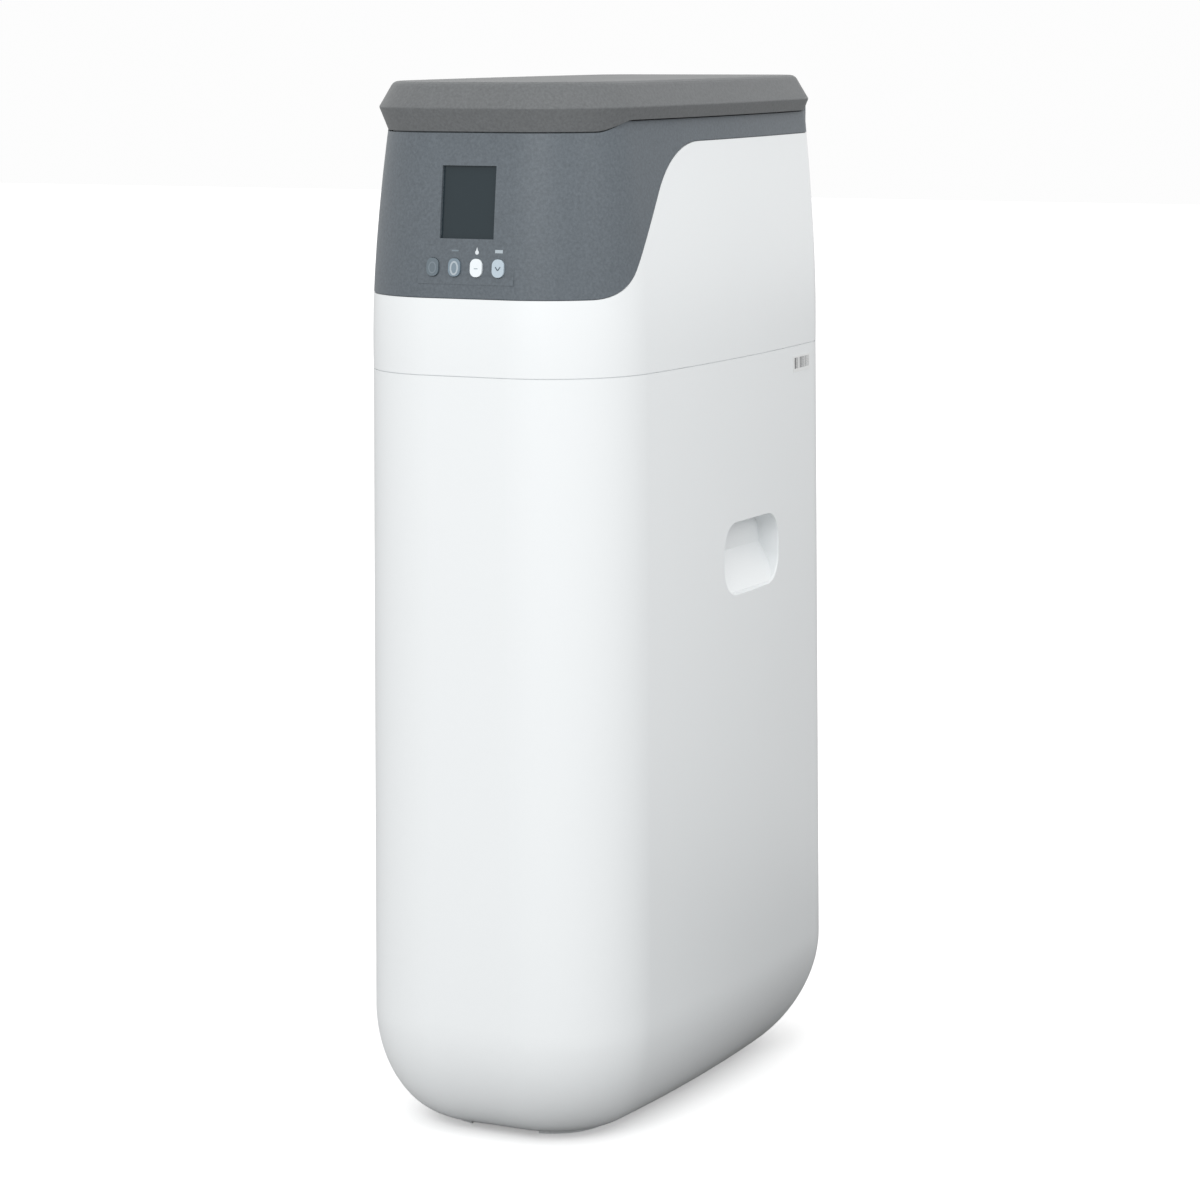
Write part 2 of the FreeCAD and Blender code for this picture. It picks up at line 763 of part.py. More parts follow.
shell_outer = shell_form("shell_outer", Size.of(0))
shell_middle = shell_form("shell_middle", size("shell_wall") / 2)
shell_inner = shell_form("shell_inner", size("shell_wall"))
sweep = [size(alias) for alias in
         ("sweep_low", "sweep_high", "sweep_start", "sweep_low_radius", "sweep_high_radius", "sweep_slope")]
face_layer = cut("face_layer", shell_outer, shell_middle)
back_layer = cut("back_layer", shell_middle, shell_inner)
half_line = size("part_line") / 2
chin = [rim - size("chin_drop"), rim, size("chin_start"), size("chin_radius"), size("chin_radius"),
        size("chin_slope")]
half_lid_gap = size("lid_gap") / 2

valve_floor = size("vessel_top") + size("neck_height")
port_z = valve_floor + size("port_rise")
bay_low = port_z - size("bay_half_height")
bay_high = port_z + size("bay_half_height")
bay = box("bay", (-size("bay_half_width"), size("bay_half_width")), (back_y - 20, back_y + 20),
          (bay_low, bay_high))
SOCKET_X = -88.0
SOCKET_HALF = 7.0
socket_hole = box("socket_hole", (SOCKET_X - SOCKET_HALF, SOCKET_X + SOCKET_HALF),
                  (back_y - 20, back_y + 20), (port_z - SOCKET_HALF, port_z + SOCKET_HALF))
shroud_face = cut("shroud_face", face_layer, step_block("sweep_face", *sweep, half_line))
shroud_back = cut("shroud_back", back_layer, step_block("sweep_back", *sweep, size("lap")))
seam_line = cut("seam_line", slab("seam_out", seam - 1, seam + size("part_line"), -5),
                slab("seam_in", seam - 1, seam + size("part_line"), size("shell_wall") / 2))
shroud_bores = [screw_bore(f"shroud_bore_{index}", x) for index, (x,) in enumerate(screw_spots)]
node("upper_shroud", cut("shroud_cut", fuse("shroud_solid", shroud_face, shroud_back), seam_line, bay,
                         socket_hole, *shroud_bores))

# The control panel stands on the leaning front of the hood: local Y runs inwards from the skin.
window_z = size("window_centre")
lean_share = (window_z.value - size("lean_start").value) / (rim - size("lean_start")).value
lean_slope = size("rim_inset").value * LEAN_POWER * lean_share ** (LEAN_POWER - 1)
lean_angle = math.degrees(math.atan(lean_slope / (rim - size("lean_start")).value))
PANEL_TURN = Rotation(Vector(1, 0, 0), -lean_angle)
panel_spot = (0, front_y + lean(window_z), window_z)
window_half_x = size("window_width") / 2
window_half_z = size("window_height") / 2
key_z = -size("key_below_window")
key_row = [size("key_pitch") * step for step in (-1.5, -0.5, 0.5, 1.5)]
panel_side = window_half_x + size("panel_margin") + size("key_pitch") / 2 + 4
lens_front = size("lens_recess")
panel_back = size("panel_thick")


def on_panel(obj):
    """Carry a piece built about the window's centre to its place on the leaning front."""
    return place(group(f"{obj.Name}_on_panel", obj), panel_spot, PANEL_TURN)


def key_prism(name, grow, x, front, back):
    """A rounded key outline, standing on the panel between two depths."""
    grow = Size.of(grow)
    sketch = rounded(f"{name}_plan", size("key_width") + grow * 2, size("key_height") + grow * 2,
                     size("key_corner") + grow)
    place(sketch, (x, front, key_z), TO_FRONT)
    return drawn_out(name, sketch, 0, Size.of(back) - Size.of(front))


def panel_pad():
    """The thick flat back of the hood around the window and the keys."""
    margin = size("panel_margin")
    pad = box("panel_pad", (-panel_side, panel_side), (size("shell_wall") / 2, panel_back),
              (key_z - size("key_height") / 2 - margin, window_half_z + margin))
    return on_panel(pad)


def panel_openings():
    """The window, the rebate that seats its lens from behind, and the key holes."""
    lip = size("lens_lip")
    window = box("window_hole", (-window_half_x, window_half_x), (-20, 20), (-window_half_z, window_half_z))
    rebate = box("lens_rebate", (-window_half_x - lip, window_half_x + lip), (lens_front, 20),
                 (-window_half_z - lip, window_half_z + lip))
    holes = [key_prism(f"key_hole_{index}", size("key_clear"), x, -20, 20) for index, x in enumerate(key_row)]
    return on_panel(fuse("panel_openings", window, rebate, *holes))


collar_low = rim - size("chin_drop") - size("lid_gap") - size("collar_wall") * 2
collar_high = collar_low + size("collar_height")
collar_side = size("collar_inset")
collar_back = size("collar_back_inset")


def ring(name, low, high, outer, inner, outer_back, inner_back):
    """A band that follows the plan of the cabinet."""
    return cut(name, slab(f"{name}_out", low, high, outer, outer, outer_back),
               slab(f"{name}_in", low - 1, high + 1, inner, inner, inner_back))


def collar():
    """The upright lip inside the lid's skirt, with a ledge under it and a deck around the opening."""
    thick = size("collar_wall")
    skin_inset = lean(collar_low) + size("shell_wall") / 2
    ledge = ring("collar_ledge", collar_low, collar_low + thick, skin_inset, collar_side + thick,
                 size("shell_wall") / 2, collar_back + thick)
    lip = ring("collar_lip", collar_low, collar_high, collar_side, collar_side + thick,
               collar_back, collar_back + thick)
    deck = ring("collar_deck", collar_high - thick, collar_high, collar_side,
                collar_side + size("deck_width"), collar_back, collar_back + size("deck_width"))
    return fuse("collar", ledge, lip, deck)


hinge_y = back_y - size("hinge_back")
hinge_z = rim + size("hinge_rise")
lid_back_y = back_y - size("lid_back_inset")
barrel_step = size("barrel_length") + size("barrel_gap")
hinge_middles = [-size("hinge_offset"), size("hinge_offset")]


def barrel(name, middle, shift, root):
    """One knuckle of a hinge, drilled for its pin, on an arm from its root."""
    low = middle + shift - size("barrel_length") / 2
    high = low + size("barrel_length")
    tip = size("barrel_radius")
    eye = rod(f"{name}_eye", tip, (low, hinge_y, hinge_z), size("barrel_length"), TO_RIGHT)
    arm = box(f"{name}_arm", (low, high), *root)
    bore = rod(f"{name}_pin_bore", size("pin_radius") + size("pin_clear"), (low - 1, hinge_y, hinge_z),
               size("barrel_length") + 2, TO_RIGHT)
    return cut(name, fuse(f"{name}_solid", eye, arm), bore)


def hood_barrels():
    """The two outer knuckles of each hinge, standing on the hood's back edge."""
    tip = size("barrel_radius")
    root = ((hinge_y - tip, hinge_y + tip), (collar_low, hinge_z))
    return [barrel(f"hood_barrel_{index}_{side}", middle, barrel_step * side, root)
            for index, middle in enumerate(hinge_middles) for side in (-1, 1)]


hood_face = common("hood_face", face_layer, step_block("sweep_hood", *sweep, -half_line))
hood_back = common("hood_back", back_layer, step_block("sweep_lap", *sweep, size("lap")))
hood_rim = step_block("hood_rim", *chin, half_lid_gap)
hood_skin = cut("hood_skin", fuse("hood_layers", hood_face, hood_back), hood_rim)
board_front = lens_front + size("lens_thick") + size("module_thick")
board_back = board_front + size("board_thick")
board_half = panel_side
BOARD_HOLE = 1.5
POST_RADIUS = 3.5


def board_posts(name, radius, front, back):
    """A post at each corner of the board, between two depths behind the panel."""
    low = key_z - size("key_height") / 2
    spots = [(x, z) for x in (-board_half + 5, board_half - 5) for z in (low, window_half_z)]
    return [rod(f"{name}_{index}", radius, (x, front, z), Size.of(back) - Size.of(front), TO_BACK)
            for index, (x, z) in enumerate(spots)]


posts = on_panel(group("board_posts", *board_posts("board_post", POST_RADIUS, panel_back - 1, board_front)))
hood_solid = fuse("hood_solid", hood_skin, panel_pad(), posts, collar(), *hood_barrels())
node("upper_hood", cut("hood_cut", hood_solid, panel_openings()))

pins = [rod(f"hinge_pin_{index}", size("pin_radius"),
            (middle - barrel_step - size("barrel_length") / 2, hinge_y, hinge_z),
            barrel_step * 2 + size("barrel_length"), TO_RIGHT)
        for index, middle in enumerate(hinge_middles)]
node("hinge_pins", group("hinge_pins", *pins))

# ---------------------------------------------------------------- lid

SKIRT_FOOT = 1080.0


def rounded_course(corners):
    """Sections (inset, height) along a profile whose corners (inset, height, radius) are rounded."""
    course = [corners[0][:2]]
    for before, corner, after in zip(corners, corners[1:], corners[2:]):
        here = Vector(corner[0].value, corner[1].value, 0)
        back = (Vector(before[0].value, before[1].value, 0) - here).normalize()
        ahead = (Vector(after[0].value, after[1].value, 0) - here).normalize()
        half_turn = math.acos(max(-1.0, min(1.0, back.dot(ahead)))) / 2
        setback = corner[2].value / math.tan(half_turn)
        start = here + back * setback
        end = here + ahead * setback
        bisector = (back + ahead).normalize()
        middle = here + bisector * (corner[2].value / math.sin(half_turn))
        for share in (0.0, 0.33, 0.67, 1.0):
            spoke = (start + (end - start) * share - middle).normalize()
            point = middle + spoke * corner[2].value
            course.append((corner[0] + (point.x - here.x), corner[1] + (point.y - here.y)))
    course.append(corners[-1][:2])
    return course


def lid_form(name, skin):
    """The lid's form, drawn in by a wall thickness: sloping skirt, brim, bevel and flat top."""
    skin = Size.of(skin)
    brim = size("brim_inset") + skin
    top = size("lid_height") - skin
    skirt = (size("brim_height") - SKIRT_FOOT) * size("skirt_slope")
    crown = brim + size("crown_inset")
    corners = [
        (brim + skirt, Size.of(SKIRT_FOOT), Size.of(0)),
        (brim, size("brim_height"), size("brim_radius")),
        (crown, top, size("crown_radius")),
        (crown + 40, top, Size.of(0)),
    ]
    course = rounded_course(corners)[:-1]
    sections = []
    for index, (inset, height) in enumerate(course):
        back = inset - size("brim_inset") + size("lid_back_inset")
        sections.append(outline(f"{name}_{index}", height, inset, inset, back))
    return lofted(name, sections, True)


def lid_barrels():
    """The middle knuckle of each hinge, on the back of the lid's skirt."""
    root = ((lid_back_y - size("lid_wall") - 2, hinge_y),
            (hinge_z - size("barrel_radius"), hinge_z + size("barrel_radius")))
    return [barrel(f"lid_barrel_{index}", middle, 0, root) for index, middle in enumerate(hinge_middles)]


liner_low = size("liner_height")
liner_high = liner_low + size("liner_thick")
lid_outer = lid_form("lid_outer", 0)
lid_inner = lid_form("lid_inner", size("lid_wall"))
lid_shell = common("lid_shell", cut("lid_walls", lid_outer, lid_inner),
                   step_block("lid_line", *chin, -half_lid_gap))
lid_post_x = half_width * 0.62
lid_post_y = [front_y + 96, back_y - 96]
lid_posts = [rod(f"lid_post_{x_side}_{index}", 5, (lid_post_x * x_side, y, liner_high),
                 size("lid_height") - size("lid_wall") / 2 - liner_high)
             for x_side in (-1, 1) for index, y in enumerate(lid_post_y)]
node("lid", fuse("lid_solid", lid_shell, *lid_barrels(), *lid_posts))


def lid_liner():
    """The flat inner panel that closes the lid from below and rests on the bumpers."""
    fall = (size("brim_height") - liner_low) * size("skirt_slope")
    inset = size("brim_inset") + fall + size("lid_wall") + size("liner_gap")
    back = inset - size("brim_inset") + size("lid_back_inset")
    return slab("lid_liner", liner_low, liner_high, inset, inset, back)


node("lid_liner", lid_liner())


def bumper(name, x, y):
    """A rubber stop on the deck under the lid."""
    return rod(name, size("bumper_radius"), (x, y, collar_high), liner_low - collar_high)


def bumper_spot(side, share):
    """A place in the middle of the deck, which follows the bow of the cabinet's side."""
    along = half_depth * share
    bow = along * along / (size("side_bow_radius") * 2)
    across = half_width - collar_side - size("deck_width") / 2 - bow
    return across * side, mid_y + along


bumper_spots = [bumper_spot(side, share) for side in (-1, 1) for share in (-0.45, 0.6)]
node("lid_bumpers", copies("lid_bumpers", bumper, bumper_spots))

# ---------------------------------------------------------------- display and keys

lens_edge = size("lens_lip") - 0.1
lens_back = lens_front + size("lens_thick")
node("display_lens", on_panel(box("display_lens", (-window_half_x - lens_edge, window_half_x + lens_edge),
                                  (lens_front, lens_back),
                                  (-window_half_z - lens_edge, window_half_z + lens_edge))))
module_back = lens_back + size("module_thick")
node("display_module", on_panel(box("display_module", (-window_half_x, window_half_x),
                                    (lens_back, module_back), (-window_half_z, window_half_z))))


def control_board():
    """The printed board behind the display and the keys."""
    plate = box("board_plate", (-board_half, board_half), (board_front, board_back),
                (key_z - size("key_height") / 2 - 6, window_half_z + 6))
    return cut("control_board", plate, *board_posts("board_hole", BOARD_HOLE, board_front - 1, board_back + 1))


node("control_board", on_panel(control_board()))


screws = board_posts("board_screw_head", 2.8, board_back, board_back + 1.6)
node("board_screws", on_panel(group("board_screws", *screws)))

key_back = panel_back + size("key_flange_thick") + size("key_travel")
switch_front = key_back + size("key_travel")
for index, x in enumerate(key_row, start=1):
    cap = key_prism(f"key_cap_{index}", 0, x, -size("key_proud"), panel_back + 0.1)
    flange_front = panel_back + 0.1
    flange = key_prism(f"key_flange_{index}", size("key_flange"), x, flange_front,
                       flange_front + size("key_flange_thick"))
    stem = rod(f"key_stem_{index}", 2.5, (x, flange_front, key_z), key_back - flange_front, TO_BACK)
    node(f"key_{index}", on_panel(fuse(f"key_{index}", cap, flange, stem)))


def switch(name, x):
    """A small push switch on the board behind one key."""
    return box(name, (x - 3, x + 3), (switch_front, board_front), (key_z - 3, key_z + 3))


node("key_switches", on_panel(copies("key_switches", switch, [(x,) for x in key_row])))

# ---------------------------------------------------------------- resin vessel

vessel_low = floor + size("boot_floor")
dome = size("vessel_dome")


def vessel_form(name, skin):
    """The vessel's drum with rounded ends, drawn in by a wall thickness."""
    skin = Size.of(skin)
    drum = rod(f"{name}_drum", size("vessel_radius") - skin, (0, vessel_y, vessel_low + skin),
               size("vessel_top") - vessel_low - skin * 2)
    doc.recompute()
    ends = [index for index, edge in enumerate(drum.Shape.Edges, start=1)
            if isinstance(edge.Curve, Part.Circle) and edge.isClosed()]
    obj = doc.addObject("Part::Fillet", name)
    obj.Base = drum
    bend = dome.value - skin.value
    obj.Edges = [(index, bend, bend) for index in ends]
    return obj


neck_low = size("vessel_top") - 12
vessel_skin = vessel_form("vessel_skin", 0)
vessel_room = vessel_form("vessel_room", size("vessel_wall"))
neck = rod("neck", size("neck_radius"), (0, vessel_y, neck_low), valve_floor - neck_low)
neck_bore = rod("neck_hole", size("neck_bore"), (0, vessel_y, neck_low - 20), size("neck_height") + 40)
node("resin_vessel", cut("vessel_cut", fuse("vessel_solid", vessel_skin, neck), vessel_room, neck_bore))

boot_block = rod("boot_block", size("boot_radius"), (0, vessel_y, floor), size("boot_height"))
boot_cup = common("boot_cup", boot_block, clear_room)
boot_foot = rod("boot_foot", size("boot_foot_radius"), (0, vessel_y - size("boot_foot_forward"), floor),
                size("boot_floor") / 2)
node("vessel_boot", cut("vessel_boot", fuse("boot_solid", boot_cup, boot_foot), vessel_form("boot_seat", 0)))

strainer_low = vessel_low + size("vessel_wall")
strainer_top = strainer_low + size("strainer_height")
riser_top = valve_floor + 24
node("riser_tube", tube("riser_tube", size("riser_radius"), size("riser_bore"), (0, vessel_y, strainer_top),
                        riser_top - strainer_top))
node("lower_strainer", turned("lower_strainer", [
    (0, 0), (size("strainer_radius"), 0), (size("strainer_radius"), size("strainer_height") - 10),
    (size("riser_radius"), size("strainer_height")), (0, size("strainer_height")),
], (0, vessel_y, strainer_low)))
upper_strainer_low = size("vessel_top") - 34
node("upper_strainer", tube("upper_strainer", size("neck_bore") - 4, size("riser_radius"),
                            (0, vessel_y, upper_strainer_low), valve_floor - 22 - upper_strainer_low))
gravel_low = vessel_low
gravel_high = gravel_low + dome + size("gravel_depth")
resin_high = gravel_high + size("resin_depth")


def bed(name, low, high):
    """Filling of the vessel between two levels, around the riser and the strainer."""
    layer = box(f"{name}_layer", (-OVER, OVER), (-OVER, OVER), (low, high))
    form = common(f"{name}_form", vessel_form(f"{name}_room", size("vessel_wall")), layer)
    pipe = rod(f"{name}_pipe", size("riser_radius"), (0, vessel_y, strainer_top - 1), OVER * 2)
    foot = rod(f"{name}_foot", size("strainer_radius"), (0, vessel_y, vessel_low), strainer_top - vessel_low)
    return cut(name, form, pipe, foot)


node("gravel_bed", bed("gravel_bed", gravel_low, gravel_high))
node("resin_bed", bed("resin_bed", gravel_high, resin_high))

# ---------------------------------------------------------------- control valve

valve_top = valve_floor + size("valve_height")
port_half = size("port_spacing") / 2
port_sides = [("inlet", 1), ("outlet", -1)]
branch_y = vessel_y - size("branch_forward")
base_low = valve_top - size("base_plate")
cover_middle = vessel_y - 4


def cover_block(name, low, high, skin):
    """A rounded upright block with the plan of the valve's cover."""
    skin = Size.of(skin)
    plan = rounded(f"{name}_plan", size("cover_width") - skin * 2, size("cover_depth") - skin * 2,
                   size("cover_corner") - skin)
    place(plan, (0, cover_middle, low))
    return drawn_out(name, plan, Size.of(high) - Size.of(low))


def side_port(name, side, bore):
    """A short branch on one side of the valve."""
    start = size("valve_radius") - 6
    length = size("side_port_reach") - 12 - start
    turn = TO_RIGHT if side > 0 else TO_LEFT
    radius = size("tube_bore") if bore else size("side_port_radius")
    return rod(name, radius, (start * side, branch_y, port_z), length, turn)


def valve_body():
    """Flange, barrel, two rear ports, side branches and the plate that carries the cover."""
    flange = rod("valve_flange", size("valve_flange_radius"), (0, vessel_y, valve_floor),
                 size("valve_flange_thick"))
    skirt = rod("valve_skirt", size("neck_bore") - size("fit_gap"), (0, vessel_y, valve_floor - 20), 24)
    barrel_solid = rod("valve_barrel", size("valve_radius"), (0, vessel_y, valve_floor), size("valve_height"))
    ports = [rod(f"valve_port_{side}", size("port_radius"), (port_half * sign, vessel_y, port_z),
                 size("port_reach"), TO_BACK) for side, sign in port_sides]
    branches = [side_port(f"valve_branch_{side}", side, False) for side in (-1, 1)]
    plate = cover_block("valve_plate", base_low, valve_top, 0)
    solid = fuse("valve_solid", flange, skirt, barrel_solid, *ports, *branches, plate)
    chamber = rod("valve_chamber", size("chamber_radius"), (0, vessel_y, valve_top - size("chamber_depth")),
                  size("chamber_depth") + 1)
    riser_seat = rod("riser_seat", size("riser_radius"), (0, vessel_y, valve_floor - 30), riser_top - valve_floor + 30)
    throat = rod("valve_throat", size("riser_bore"), (0, vessel_y, valve_floor), size("valve_height"))
    bores = [rod(f"port_bore_{side}", size("port_bore"), (port_half * sign, vessel_y + 6, port_z),
                 size("port_reach"), TO_BACK) for side, sign in port_sides]
    drains = [side_port(f"branch_bore_{side}", side, True) for side in (-1, 1)]
    return cut("valve_body", solid, chamber, riser_seat, throat, *bores, *drains)


node("valve_body", valve_body())

chamber_low = valve_top - size("chamber_depth")
disc_top = chamber_low + size("disc_thick")
DISC_PORT = 7.0
DISC_PORT_RING = 16.0


def disc(name, low, thick, angles):
    """A ceramic disc with a port at each angle."""
    plate = rod(f"{name}_plate", size("disc_radius"), (0, vessel_y, low), thick)
    holes = []
    for angle in angles:
        x = DISC_PORT_RING * math.cos(math.radians(angle))
        y = DISC_PORT_RING * math.sin(math.radians(angle))
        holes.append(rod(f"{name}_port_{angle}", DISC_PORT, (x, vessel_y + y, low - 1), thick + 2))
    return cut(name, plate, *holes)


node("fixed_disc", disc("fixed_disc", chamber_low, size("disc_thick"), (30, 150, 270)))
rotor_low = disc_top + size("run_clear")
rotor_thick = size("disc_thick")
node("rotor_disc", disc("rotor_disc", rotor_low, rotor_thick, (90,)))

bonnet_top = valve_top + size("bonnet_thick")
bonnet_low = rotor_low + rotor_thick + size("fit_gap")
bonnet_cap = rod("bonnet_cap", size("valve_radius"), (0, vessel_y, valve_top), size("bonnet_thick"))
bonnet_spigot = rod("bonnet_spigot", size("chamber_radius") - size("fit_gap") / 2, (0, vessel_y, bonnet_low),
                    valve_top - bonnet_low + 1)
bonnet_bore = rod("bonnet_bore", size("shaft_radius") + size("run_clear"), (0, vessel_y, bonnet_low - 1),
                  size("bonnet_thick") + 40)
node("valve_bonnet", cut("valve_bonnet", fuse("bonnet_solid", bonnet_cap, bonnet_spigot), bonnet_bore))

gear_low = bonnet_top + size("gear_lift")
gear_high = gear_low + size("gear_thick")
shaft_low = rotor_low + rotor_thick
node("rotor_shaft", rod("rotor_shaft", size("shaft_radius"), (0, vessel_y, shaft_low), gear_high - shaft_low))


def toothed(name, teeth, low, high, bore, x, y, phase):
    """A spur gear with straight-sided stub teeth, cut round a bore."""
    module = size("gear_module").value
    count = int(size(teeth).value)
    pitch = module * count / 2
    tooth = math.pi * module / 2 - size("tooth_slack").value
    lean_in = math.tan(math.radians(20))
    addendum = 0.8 * module
    dedendum = 1.05 * module
    points = []
    for index in range(count):
        middle = phase + 2 * math.pi * index / count
        for radius, flank, sign in ((pitch - dedendum, tooth / 2 + dedendum * lean_in, -1),
                                    (pitch + addendum, tooth / 2 - addendum * lean_in, -1),
                                    (pitch + addendum, tooth / 2 - addendum * lean_in, 1),
                                    (pitch - dedendum, tooth / 2 + dedendum * lean_in, 1)):
            angle = middle + sign * flank / radius
            points.append(Vector(radius * math.cos(angle), radius * math.sin(angle), 0))
    face = Part.Face(Part.makePolygon(points + points[:1]))
    height = (high - low).value
    wheel = face.extrude(Vector(0, 0, height))
    wheel = wheel.cut(Part.makeCylinder(Size.of(bore).value, height))
    obj = doc.addObject("Part::Feature", name)
    obj.Shape = wheel
    return place(obj, (x, y, low))


gear_reach = size("gear_module") * (size("gear_teeth") + size("pinion_teeth")) / 2
pinion_y = vessel_y - gear_reach
node("drive_gear", toothed("drive_gear", "gear_teeth", gear_low, gear_high, size("shaft_radius"),
                           0, vessel_y, -math.pi / 2))
pinion_phase = math.pi / 2 + math.pi / size("pinion_teeth").value

plate_low = gear_high + size("plate_lift")
plate_high = plate_low + size("plate_thick")
post_ring = size("valve_radius") - size("post_radius") - 0.6


def motor_plate():
    """The bracket over the gears, on posts that stand on the bonnet."""
    posts = []
    for angle in (0, 60, 120, 180):
        x = post_ring * math.cos(math.radians(angle))
        y = vessel_y + post_ring * math.sin(math.radians(angle))
        posts.append(rod(f"plate_post_{angle}", size("post_radius"), (x, y, bonnet_top), plate_high - bonnet_top))
    disc_part = rod("plate_disc", size("valve_radius"), (0, vessel_y, plate_low), size("plate_thick"))
    tab = box("plate_tab", (-size("motor_radius"), size("motor_radius")),
              (pinion_y - size("motor_shaft") - 4, vessel_y), (plate_low, plate_high))
    hole = rod("plate_hole", size("motor_shaft") + 1, (0, pinion_y, plate_low - 1), size("plate_thick") + 2)
    return cut("motor_plate", fuse("motor_plate_solid", disc_part, tab, *posts), hole)


node("motor_plate", motor_plate())
node("gear_motor", rod("gear_motor", size("motor_radius"), (0, pinion_y, plate_high), size("motor_height")))
pinion = toothed("pinion_wheel", "pinion_teeth", gear_low, gear_high, size("motor_shaft"), 0, pinion_y,
                 pinion_phase)
motor_shaft = rod("motor_shaft", size("motor_shaft"), (0, pinion_y, gear_low),
                  plate_high - size("fit_gap") - gear_low)
node("motor_pinion", fuse("motor_pinion", pinion, motor_shaft))

cover_high = valve_top + size("cover_height")
cover_outer = cover_block("cover_outer", valve_top, cover_high, 0)
cover_inner = cover_block("cover_inner", valve_top - 1, cover_high - size("cover_wall"), size("cover_wall"))
node("valve_cover", cut("valve_cover", cover_outer, cover_inner))

# ---------------------------------------------------------------- bypass and ports

bypass_start = vessel_y + size("port_reach")
bypass_end = bypass_start + size("bypass_length")
plug_y = bypass_end - size("bypass_radius")
plug_low = port_z - size("bypass_height") / 2
plug_high = port_z + size("bypass_height") / 2
thread_end = back_y + size("back_reach")


def port_spot(sign, y):
    """A point on the centre line of one port."""
    return (port_half * sign, y, port_z)


def bypass_body():
    """Two through pipes with an upright plug housing on each, and the cross passage between them."""
    length = size("bypass_length")
    solids = []
    bores = []
    for side, sign in port_sides:
        solids.append(rod(f"bypass_pipe_{side}", size("port_radius"), port_spot(sign, bypass_start), length, TO_BACK))
        solids.append(rod(f"bypass_house_{side}", size("bypass_radius"), (port_half * sign, plug_y, plug_low),
                          size("bypass_height")))
        bores.append(rod(f"bypass_bore_{side}", size("port_bore"), port_spot(sign, bypass_start), length, TO_BACK))
        bores.append(rod(f"plug_bore_{side}", size("plug_radius") + size("run_clear"),
                         (port_half * sign, plug_y, plug_low + 4), size("bypass_height")))
    cross = (-port_half, plug_y, port_z)
    solids.append(rod("bypass_cross", size("cross_radius"), cross, size("port_spacing"), TO_RIGHT))
    bores.append(rod("bypass_cross_bore", size("cross_radius") - 3, cross, size("port_spacing"), TO_RIGHT))
    return cut("bypass_body", fuse("bypass_solid", *solids), *bores)


node("bypass_body", bypass_body())


def clip(name, side, sign):
    """A split ring that holds the bypass to the valve."""
    start = bypass_start - size("clip_width") / 2
    outer = size("port_radius") + size("clip_thick")
    band = tube(f"{name}_band", outer, size("port_radius"), port_spot(sign, start), size("clip_width"), TO_BACK)
    middle = port_half * sign
    split = box(f"{name}_split", (middle - 6, middle + 6), (start - 1, start + size("clip_width") + 1),
                (port_z, port_z + outer + 1))
    return cut(name, band, split)


node("port_clips", copies("port_clips", clip, port_sides))

for side, sign in port_sides:
    plug = rod(f"{side}_plug_solid", size("plug_radius"), (port_half * sign, plug_y, plug_low + 4 + 0.1),
               size("bypass_height") - 4 + 1)
    through = rod(f"{side}_plug_bore", size("port_bore") - 2, port_spot(sign, plug_y - 30), 60, TO_BACK)
    node(f"{side}_plug", cut(f"{side}_plug", plug, through))
    knob_low = plug_high + 1.1
    grip = box(f"{side}_knob_grip", (port_half * sign - 4, port_half * sign + 4),
               (plug_y - size("knob_radius") - 4, plug_y + size("knob_radius") - 6),
               (knob_low + 5, knob_low + size("knob_height")))
    base = cone(f"{side}_knob_base", size("knob_radius"), size("knob_radius") - 3,
                (port_half * sign, plug_y, knob_low), 8)
    node(f"{side}_knob", fuse(f"{side}_knob", base, grip))
    collar_part = rod(f"{side}_tail_collar", size("tail_radius"), port_spot(sign, bypass_end), size("nut_length"),
                      TO_BACK)
    thread_part = rod(f"{side}_tail_thread", size("thread_radius"), port_spot(sign, bypass_end),
                      thread_end - bypass_end, TO_BACK)
    tail_bore = rod(f"{side}_tail_bore", size("thread_bore"), port_spot(sign, bypass_end),
                    thread_end - bypass_end, TO_BACK)
    node(f"{side}_adapter", cut(f"{side}_adapter", fuse(f"{side}_tail", collar_part, thread_part), tail_bore))


def union_nut(name, side, sign):
    """A six-sided nut with a hole for its adapter."""
    prism = doc.addObject("Part::Prism", f"{name}_hex")
    prism.Polygon = 6
    bind(prism, Circumradius=size("nut_radius"), Height=size("nut_length"))
    place(prism, port_spot(sign, bypass_end), TO_BACK)
    hole = rod(f"{name}_hole", size("tail_radius"), port_spot(sign, bypass_end), size("nut_length"), TO_BACK)
    return cut(name, prism, hole)


node("union_nuts", copies("union_nuts", union_nut, port_sides))

# The flow meter: a wheel on a fine axle between two spoked rings in the outlet port.
meter_x = port_half * -1
meter_y = vessel_y + 44
METER_AXLE = 0.8
METER_HUB = 2.6


def meter_ring(name, y):
    """A ring with one spoke that holds an end of the axle."""
    ring_part = tube(f"{name}_rim", size("port_bore"), size("port_bore") - 1, (meter_x, y, port_z), 3, TO_BACK)
    spoke = box(f"{name}_spoke", (meter_x - 1, meter_x + 1), (y, y + 3),
                (port_z - size("port_bore") + 0.5, port_z + size("port_bore") - 0.5))
    hub = rod(f"{name}_hub", METER_HUB, (meter_x, y, port_z), 3, TO_BACK)
    eye = rod(f"{name}_eye", METER_AXLE + size("run_clear"), (meter_x, y - 1, port_z), 5, TO_BACK)
    return cut(name, fuse(f"{name}_solid", ring_part, spoke, hub), eye)


turbine_start = meter_y + 4
turbine_end = turbine_start + size("turbine_length")
node("meter_cage", group("meter_cage", meter_ring("meter_front", meter_y), meter_ring("meter_back", turbine_end + 1)))


